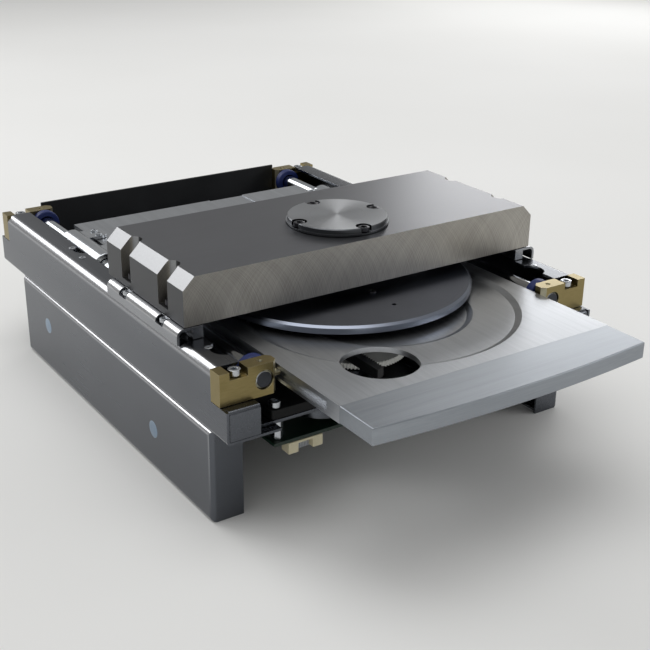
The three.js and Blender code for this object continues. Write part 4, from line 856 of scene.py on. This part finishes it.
from_cad("spindle_motor", SPINDLE_MOTOR_EDGE, SATIN_STEEL)
from_cad("spindle_shaft", SHAFT_EDGE, ROD_STEEL)
low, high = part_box("turntable")
rim = (high.x - low.x) / 2
height = high.z - low.z
profile = (
    (0, HUB_HOLLOW), (HUB_RADIUS, HUB_HOLLOW), (HUB_RADIUS, 0), (rim - TABLE_EASE, 0),
    (rim - TABLE_EASE_MIDDLE, TABLE_EASE_MIDDLE), (rim, TABLE_EASE), (rim, TABLE_RIM_TOP),
    (rim - TABLE_BEVEL, TABLE_TOP), (HUB_RADIUS - HUB_EASE, TABLE_TOP),
    (HUB_RADIUS - HUB_EASE, height - HUB_EASE), (HUB_RADIUS - 2 * HUB_EASE, height),
    (SHAFT_SEAT, height), (SHAFT_SEAT, SHAFT_SEAT_FLOOR), (0, SHAFT_SEAT_FLOOR),
)
table = placed(turned([(radius, low.z + rise) for radius, rise in profile], TABLE_STEPS), (0, spindle_y, 0))
holes = []
for third in range(3):
    angle = math.radians(-90 + 120 * third)
    holes.append(drill(
        TABLE_HOLE_RADIUS * math.cos(angle), spindle_y + TABLE_HOLE_RADIUS * math.sin(angle),
        TABLE_HOLE, low.z - OVERRUN, high.z, SMALL_HOLE_STEPS,
    ))
    seat = (
        TABLE_SCREW_RADIUS * math.cos(angle), spindle_y + TABLE_SCREW_RADIUS * math.sin(angle),
        low.z + TABLE_TOP,
    )
    small_screw(
        f"turntable_screw_{third + 1}", TABLE_SCREW, TABLE_SCREW_TIP, seat, "turntable",
        BLACK_SCREW,
    )
finished("turntable", worked(table, holes), DARK_ANODISED)


# Tray plate: milled from aluminium and brushed along its length, with a recess for the disc, a
# smaller ring inside it, a finger hole, the slot for the clamp, side grooves and a shallow channel.
PLATE_EDGE = 0.22 * MM
RIM_ANGLE = math.radians(15)
RECESS_FROM_FRONT = 71.6 * MM
RECESS_RIM = 63.8 * MM
RECESS_FLOOR = 60.8 * MM
RECESS_DEPTH = 1.3 * MM
RECESS_STEPS = 180
SMALL_RIM = 42.1 * MM
SMALL_FLOOR = 39.4 * MM
SMALL_DEPTH = 1.0 * MM
FINGER_HOLE = 16.7 * MM
FINGER_X = -34.8 * MM
FINGER_FROM_FRONT = 23.9 * MM
FINGER_EDGE = 3.7 * MM
FINGER_STEPS = 96
POCKET_RADIUS = 21.5 * MM
POCKET_SHIFT = (2.7 * MM, 3.6 * MM)
SLOT_HALF = 14.0 * MM
SLOT_LENGTH = 127.3 * MM
SLOT_STEPS = 32
GROOVE_LOW = 1.45 * MM
GROOVE_HIGH = 5.55 * MM
GROOVE_DEPTH = 2.2 * MM
GROOVE_START = 8.65 * MM
GROOVE_END = 161.6 * MM
CHANNEL_LEFT = 11.6 * MM
CHANNEL_RIGHT = 33.2 * MM
CHANNEL_DEPTH = 0.5 * MM
CHANNEL_LENGTH = 36.0 * MM


def brushed_aluminium(name, dark, light, cells, depth):
    finish = Finish(name, {"Metallic": 1.0})
    fine = finish.grain(cells, 3.0, 0.6)
    coarse = finish.grain(tuple(c * 0.18 for c in cells))
    cloud = finish.grain(18.0)
    finish.feed("Base Color", finish.mixed(fine * 0.4 + coarse * 0.35 + cloud * 0.25, dark, light))
    finish.feed("Roughness", 0.24 + 0.12 * fine + 0.06 * coarse)
    finish.raise_by(fine * 0.7 + coarse * 0.3, depth)
    return finish.material


PLATE_ALUMINIUM = brushed_aluminium(
    "plate_aluminium", "85888D", "CDD0D4", cells=(2400.0, 45.0, 2400.0), depth=0.03 * MM,
)
low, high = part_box("tray_plate")
under = low.z - OVERRUN
over = high.z + OVERRUN
recess_y = low.y + RECESS_FROM_FRONT
finger_y = low.y + FINGER_FROM_FRONT
floor = high.z - RECESS_DEPTH
small_floor = floor - SMALL_DEPTH
recess = placed(turned([
    (0, small_floor), (SMALL_FLOOR, small_floor), (SMALL_RIM, floor), (RECESS_FLOOR, floor),
    (RECESS_RIM, high.z), (RECESS_RIM, over), (0, over),
], RECESS_STEPS), (0, recess_y, 0))
finger_hole = drill(FINGER_X, finger_y, FINGER_HOLE, under, over, FINGER_STEPS)
pocket = drill(
    FINGER_X + POCKET_SHIFT[0], finger_y + POCKET_SHIFT[1], POCKET_RADIUS, under, high.z - FINGER_EDGE,
    FINGER_STEPS,
)
slot_outline = []
for end_y, first in ((recess_y, math.pi), (recess_y + SLOT_LENGTH, 0.0)):
    for step in range(SLOT_STEPS + 1):
        angle = first + math.pi * step / SLOT_STEPS
        slot_outline.append((SLOT_HALF * math.cos(angle), end_y + SLOT_HALF * math.sin(angle)))
clamp_slot = prism(slot_outline, under, over)
channel = box(
    (CHANNEL_LEFT, high.y - CHANNEL_LENGTH, high.z - CHANNEL_DEPTH), (CHANNEL_RIGHT, high.y + OVERRUN, over),
)
cuts = [recess, finger_hole, pocket, clamp_slot, channel]
for sign in (-1, 1):
    left, right = sorted((sign * (high.x - GROOVE_DEPTH), sign * (high.x + OVERRUN)))
    cuts.append(box(
        (left, low.y + GROOVE_START, low.z + GROOVE_LOW), (right, low.y + GROOVE_END, low.z + GROOVE_HIGH),
    ))
plate = edged(worked(box(low, high), cuts), PLATE_EDGE, above=RIM_ANGLE, joint=low.y)
finished("tray_plate", plate, PLATE_ALUMINIUM)


# Tray front: a bar of aluminium, brushed along its width, with a slightly bowed face and rounded
# edges. It is screwed to the plate, and the joint shows as a fine line.
FRONT_EDGE = 0.55 * MM
FRONT_DEPTH = 21.0 * MM
FRONT_JOINT = 0.03 * MM
FRONT_STEPS = 64
FRONT_ALUMINIUM = brushed_aluminium(
    "front_aluminium", "787D84", "AEB3B9", cells=(45.0, 2400.0, 2400.0), depth=0.012 * MM,
)
plate_low, plate_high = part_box("tray_plate")
low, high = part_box("tray_front")
half = high.x
corner_y = high.y - FRONT_DEPTH
bulge = corner_y - low.y
bow = half ** 2 / (2 * bulge) + bulge / 2
joint_y = plate_low.y - FRONT_JOINT
outline = [(half, joint_y), (-half, joint_y)]
for step in range(FRONT_STEPS + 1):
    x = -half + 2 * half * step / FRONT_STEPS
    outline.append((x, corner_y - bulge + bow - math.sqrt(bow ** 2 - x ** 2)))
bar = edged(prism(outline, low.z, high.z), FRONT_EDGE, steps=3, joint=joint_y)
finished("tray_front", bar, FRONT_ALUMINIUM)


# Bearing sleeves: polished steel tubes that slide on the rods. Two oval tabs on each lie over the
# tray's edge, and two small screws in each tab hold the tray.
SLEEVE_EDGE = 0.15 * MM
SLEEVE_EASE = 0.4 * MM
SLEEVE_GAP = 0.3 * MM
SLEEVE_MOUTH = 0.3 * MM
SLEEVE_STEPS = 96
TAB_CORNER = 4.0 * MM
TAB_THICKNESS = 1.5 * MM
TAB_GAP = 0.3 * MM
TAB_INNER = 64.4 * MM
TAB_OUTER = 78.9 * MM
TAB_LENGTH = 12.0 * MM
TAB_INSET = 3.0 * MM
TAB_SCREW = dict(head=1.6 * MM, height=0.8 * MM, across=1.4 * MM, depth=0.5 * MM, shank=1.2 * MM)
TAB_SCREW_X = 68.8 * MM
TAB_SCREW_SHARES = (0.25, 0.75)
SLEEVE_STEEL = ground_steel("sleeve_steel", cells=(1500.0, 60.0, 1500.0), roughness=0.12)


def rounded_outline(left, right, front, back, radius, steps=10):
    outline = []
    for x, y, first in (
        (right - radius, front + radius, -90), (right - radius, back - radius, 0),
        (left + radius, back - radius, 90), (left + radius, front + radius, 180),
    ):
        for step in range(steps + 1):
            angle = math.radians(first + 90 * step / steps)
            outline.append((x + radius * math.cos(angle), y + radius * math.sin(angle)))
    return outline


for side, sign in (("left", -1), ("right", 1)):
    node = f"bearing_sleeve_{side}"
    low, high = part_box(node)
    rod_low, rod_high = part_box(f"guide_rod_{side}")
    middle = (rod_low + rod_high) / 2
    start = (middle.x, low.y, middle.z)
    outer = high.z - middle.z
    bore = (rod_high.z - rod_low.z) / 2 + SLEEVE_GAP
    length = high.y - low.y
    tube = placed(turned([
        (bore + SLEEVE_MOUTH, 0), (outer - SLEEVE_EASE, 0), (outer, SLEEVE_EASE),
        (outer, length - SLEEVE_EASE), (outer - SLEEVE_EASE, length), (bore + SLEEVE_MOUTH, length),
        (bore, length - SLEEVE_MOUTH), (bore, SLEEVE_MOUTH),
    ], SLEEVE_STEPS), start, FACE_BACK)
    left, right = sorted((sign * TAB_INNER, sign * TAB_OUTER))
    tab_low = plate_high.z + TAB_GAP
    tab_high = tab_low + TAB_THICKNESS
    tabs = []
    for end, front in (("front", low.y + TAB_INSET), ("rear", high.y - TAB_INSET - TAB_LENGTH)):
        outline = rounded_outline(left, right, front, front + TAB_LENGTH, TAB_CORNER)
        rod_room = turned([(0, 0), (bore, 0), (bore, length), (0, length)])
        tabs.append(worked(prism(outline, tab_low, tab_high), [placed(rod_room, start, FACE_BACK)]))
        for number, share in enumerate(TAB_SCREW_SHARES, 1):
            small_screw(
                f"tab_screw_{side}_{end}_{number}", TAB_SCREW, TAB_THICKNESS,
                (sign * TAB_SCREW_X, front + TAB_LENGTH * share, tab_high), node,
            )
    finished(node, edged(worked(tube, tabs, "UNION"), SLEEVE_EDGE), SLEEVE_STEEL)


# Loading drive: a black rack under the tray, the white moulded gear that drives it, its steel axle,
# and a small motor with a black pinion.
TOOTH_EDGE = 0.1 * MM
AXLE_EDGE = 0.15 * MM
LOADING_MOTOR_EDGE = 0.5 * MM
PINION_EDGE = 0.08 * MM


def moulded(name, dark, light, roughness, gloss):
    finish = Finish(name, {"Specular IOR Level": gloss})
    cloud = finish.grain(110.0)
    speck = finish.grain(1400.0, 3.0)
    finish.feed("Base Color", finish.mixed(cloud * 0.6 + speck * 0.4, dark, light))
    finish.feed("Roughness", roughness + 0.16 * cloud)
    finish.raise_by(speck, 0.012 * MM)
    return finish.material


WHITE_PLASTIC = moulded("white_plastic", "DEDEDA", "F0F0EC", roughness=0.34, gloss=0.5)
BLACK_PLASTIC = moulded("black_plastic", "08090A", "131415", roughness=0.4, gloss=0.22)
from_cad("tray_rack", TOOTH_EDGE, BLACK_PLASTIC)
from_cad("loading_gear", TOOTH_EDGE, WHITE_PLASTIC)
from_cad("gear_axle", AXLE_EDGE, ROD_STEEL)
from_cad("loading_motor", LOADING_MOTOR_EDGE, SATIN_STEEL, steps=3)
from_cad("motor_pinion", PINION_EDGE, BLACK_PLASTIC)


# Clamp: a black moulded hub that lifts the disc, on a turned aluminium lifter, in a steel guide
# that is screwed to the base plate.
CLAMP_HUB_EDGE = 0.2 * MM
LIFTER_EDGE = 0.15 * MM
LIFTER_ALUMINIUM = turned_aluminium(
    "lifter_aluminium", (0, spindle_y), "9EA1A5", "C6C8CB", "B2B5B8",
    rings=4200.0, depth=0.006 * MM, sheen=0.4,
)
from_cad("clamp_hub", CLAMP_HUB_EDGE, BLACK_PLASTIC)
from_cad("clamp_lifter", LIFTER_EDGE, LIFTER_ALUMINIUM)
from_cad("clamp_guide", LIFTER_EDGE, ROD_STEEL)


# Pickup: a black moulded sled with a coated lens, on two ground rods, driven along by a threaded
# steel screw and its motor.
SLED_EDGE = 0.4 * MM
LENS_EDGE = 0.15 * MM
SLED_ROD_EDGE = 0.2 * MM
FEED_MOTOR_EDGE = 0.6 * MM
THREAD_PITCH = 3.0 * MM
THREAD_DEPTH = 0.35 * MM
THREAD_SHARE = 0.5
THREAD_STEPS = 24


def lens_glass():
    finish = Finish("lens_glass", {"IOR": 1.5, "Coat Weight": 0.6, "Coat Roughness": 0.03})
    cloud = finish.grain(400.0)
    finish.feed("Base Color", finish.mixed(cloud, "4C6488", "7E93B4"))
    finish.feed("Roughness", 0.04 + 0.06 * cloud)
    return finish.material


def threaded(radius, length):
    """A rod with one helical groove, along z, and plain ends."""
    rings = int(length / THREAD_PITCH * THREAD_STEPS)
    mesh = bmesh.new()
    rows = []
    for row in range(rings + 1):
        height = length * row / rings
        near_end = min(height, length - height) < THREAD_PITCH / 2
        points = []
        for step in range(THREAD_STEPS):
            share = (height / THREAD_PITCH - step / THREAD_STEPS) % 1.0
            groove = max(0.0, 1 - abs(share - 0.5) * 2 / THREAD_SHARE)
            reach = radius - (0.0 if near_end else THREAD_DEPTH * groove)
            angle = 2 * math.pi * step / THREAD_STEPS
            points.append(mesh.verts.new((reach * math.cos(angle), reach * math.sin(angle), height)))
        rows.append(points)
    for low_row, high_row in zip(rows, rows[1:]):
        banded(mesh, low_row, high_row)
    mesh.faces.new(rows[0])
    mesh.faces.new(rows[-1])
    return mesh


from_cad("pickup_sled", SLED_EDGE, BLACK_PLASTIC, steps=3)
from_cad("pickup_lens", LENS_EDGE, lens_glass())
for node in ("sled_rod_left", "sled_rod_right"):
    from_cad(node, SLED_ROD_EDGE, ROD_STEEL)
low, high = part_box("feed_screw")
middle = (low + high) / 2
thread = threaded((high.z - low.z) / 2, high.y - low.y)
finished("feed_screw", placed(thread, (middle.x, low.y, middle.z), FACE_BACK), SCREW_STEEL)
from_cad("feed_motor", FEED_MOTOR_EDGE, SATIN_STEEL, steps=3)


# Tray switch: a black moulded housing on the base plate, at the front left under the tray. One
# bright socket screw holds it down.
SWITCH_EDGE = 0.3 * MM
from_cad("tray_switch", SWITCH_EDGE, BLACK_PLASTIC)
seated_screw("switch_screw", LARGE_SCREW, SCREW_STEEL)


# Control board: a green lacquered board under the base plate on two hexagon standoffs, with a cream
# connector on its underside, whose pins stand between its end walls.
BOARD_EDGE = 0.12 * MM
STANDOFF_EDGE = 0.2 * MM
CONNECTOR_EDGE = 0.25 * MM
PIN_COUNT = 7
PIN_HALF = 0.32 * MM
PIN_EDGE = 0.1 * MM
PIN_MARGIN = 6.2 * MM
PIN_FROM_FRONT = 2.2 * MM
PIN_ABOVE_FOOT = 0.5 * MM
PIN_BELOW_TOP = 0.4 * MM


def lacquered_board():
    finish = Finish("board_green", {"Specular IOR Level": 0.5, "Coat Weight": 0.3, "Coat Roughness": 0.2})
    weave = finish.grain(900.0)
    cloud = finish.grain(80.0)
    finish.feed("Base Color", finish.mixed(weave * 0.4 + cloud * 0.6, "0D1F15", "183526"))
    finish.feed("Roughness", 0.34 + 0.12 * weave)
    finish.raise_by(weave, 0.02 * MM)
    return finish.material


CREAM_PLASTIC = moulded("cream_plastic", "D2C9A6", "E9E1C4", roughness=0.36, gloss=0.5)
from_cad("control_board", BOARD_EDGE, lacquered_board())
for node in ("board_standoff_left", "board_standoff_right"):
    from_cad(node, STANDOFF_EDGE, SCREW_STEEL)
from_cad("board_connector", CONNECTOR_EDGE, CREAM_PLASTIC)
low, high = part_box("board_connector")
y = low.y + PIN_FROM_FRONT
for number in range(PIN_COUNT):
    x = low.x + PIN_MARGIN + (high.x - low.x - 2 * PIN_MARGIN) * number / (PIN_COUNT - 1)
    pin = edged(box(
        (x - PIN_HALF, y - PIN_HALF, low.z + PIN_ABOVE_FOOT),
        (x + PIN_HALF, y + PIN_HALF, high.z - PIN_BELOW_TOP),
    ), PIN_EDGE)
    added(f"connector_pin_{number + 1}", pin, SCREW_STEEL, "board_connector")


# Studio: a plain pale floor and surround, with four broad soft lamps: one overhead, two behind the
# mechanism and one at its right front.
FLOOR_HALF = 2.5
FLOOR_DEPTH = 0.01
FLOOR_TONE = "E4E4E2"
SURROUND_TONE = "EDEDEC"
SURROUND_STRENGTH = 0.42
LAMP_TARGET = Vector((0.0, 0.0, 0.05))

slab = box((-FLOOR_HALF, -FLOOR_HALF, -FLOOR_DEPTH), (FLOOR_HALF, FLOOR_HALF, 0))
slab_data = bpy.data.meshes.new("floor")
slab.to_mesh(slab_data)
slab.free()
paint = Finish("floor", {"Roughness": 0.8, "Specular IOR Level": 0.2})
paint.feed("Base Color", paint.mixed(paint.grain(3.0), FLOOR_TONE, SURROUND_TONE))
slab_data.materials.append(paint.material)
ground = bpy.data.objects.new("floor", slab_data)
bpy.context.scene.collection.objects.link(ground)

world = bpy.data.worlds.new("studio")
bpy.context.scene.world = world
world.use_nodes = True
surround = world.node_tree.nodes["Background"]
surround.inputs["Color"].default_value = tone(SURROUND_TONE)
surround.inputs["Strength"].default_value = SURROUND_STRENGTH


def soft_lamp(name, place, width, height, power):
    lamp = bpy.data.lights.new(name, "AREA")
    lamp.shape = "RECTANGLE"
    lamp.size = width
    lamp.size_y = height
    lamp.energy = power
    holder = bpy.data.objects.new(name, lamp)
    holder.location = place
    holder.rotation_euler = (LAMP_TARGET - Vector(place)).to_track_quat("-Z", "Y").to_euler()
    bpy.context.scene.collection.objects.link(holder)


soft_lamp("lamp_above", (-0.1, 0.1, 1.3), width=1.2, height=1.2, power=8.0)
soft_lamp("lamp_right_rear", (1.3, 0.95, 0.5), width=0.8, height=0.45, power=4.3)
soft_lamp("lamp_left_rear", (-0.5, 1.25, 0.85), width=0.9, height=0.6, power=6.5)
soft_lamp("lamp_right_front", (1.05, -0.82, 0.6), width=0.7, height=0.5, power=2.8)
bpy.context.scene.view_settings.view_transform = "Standard"
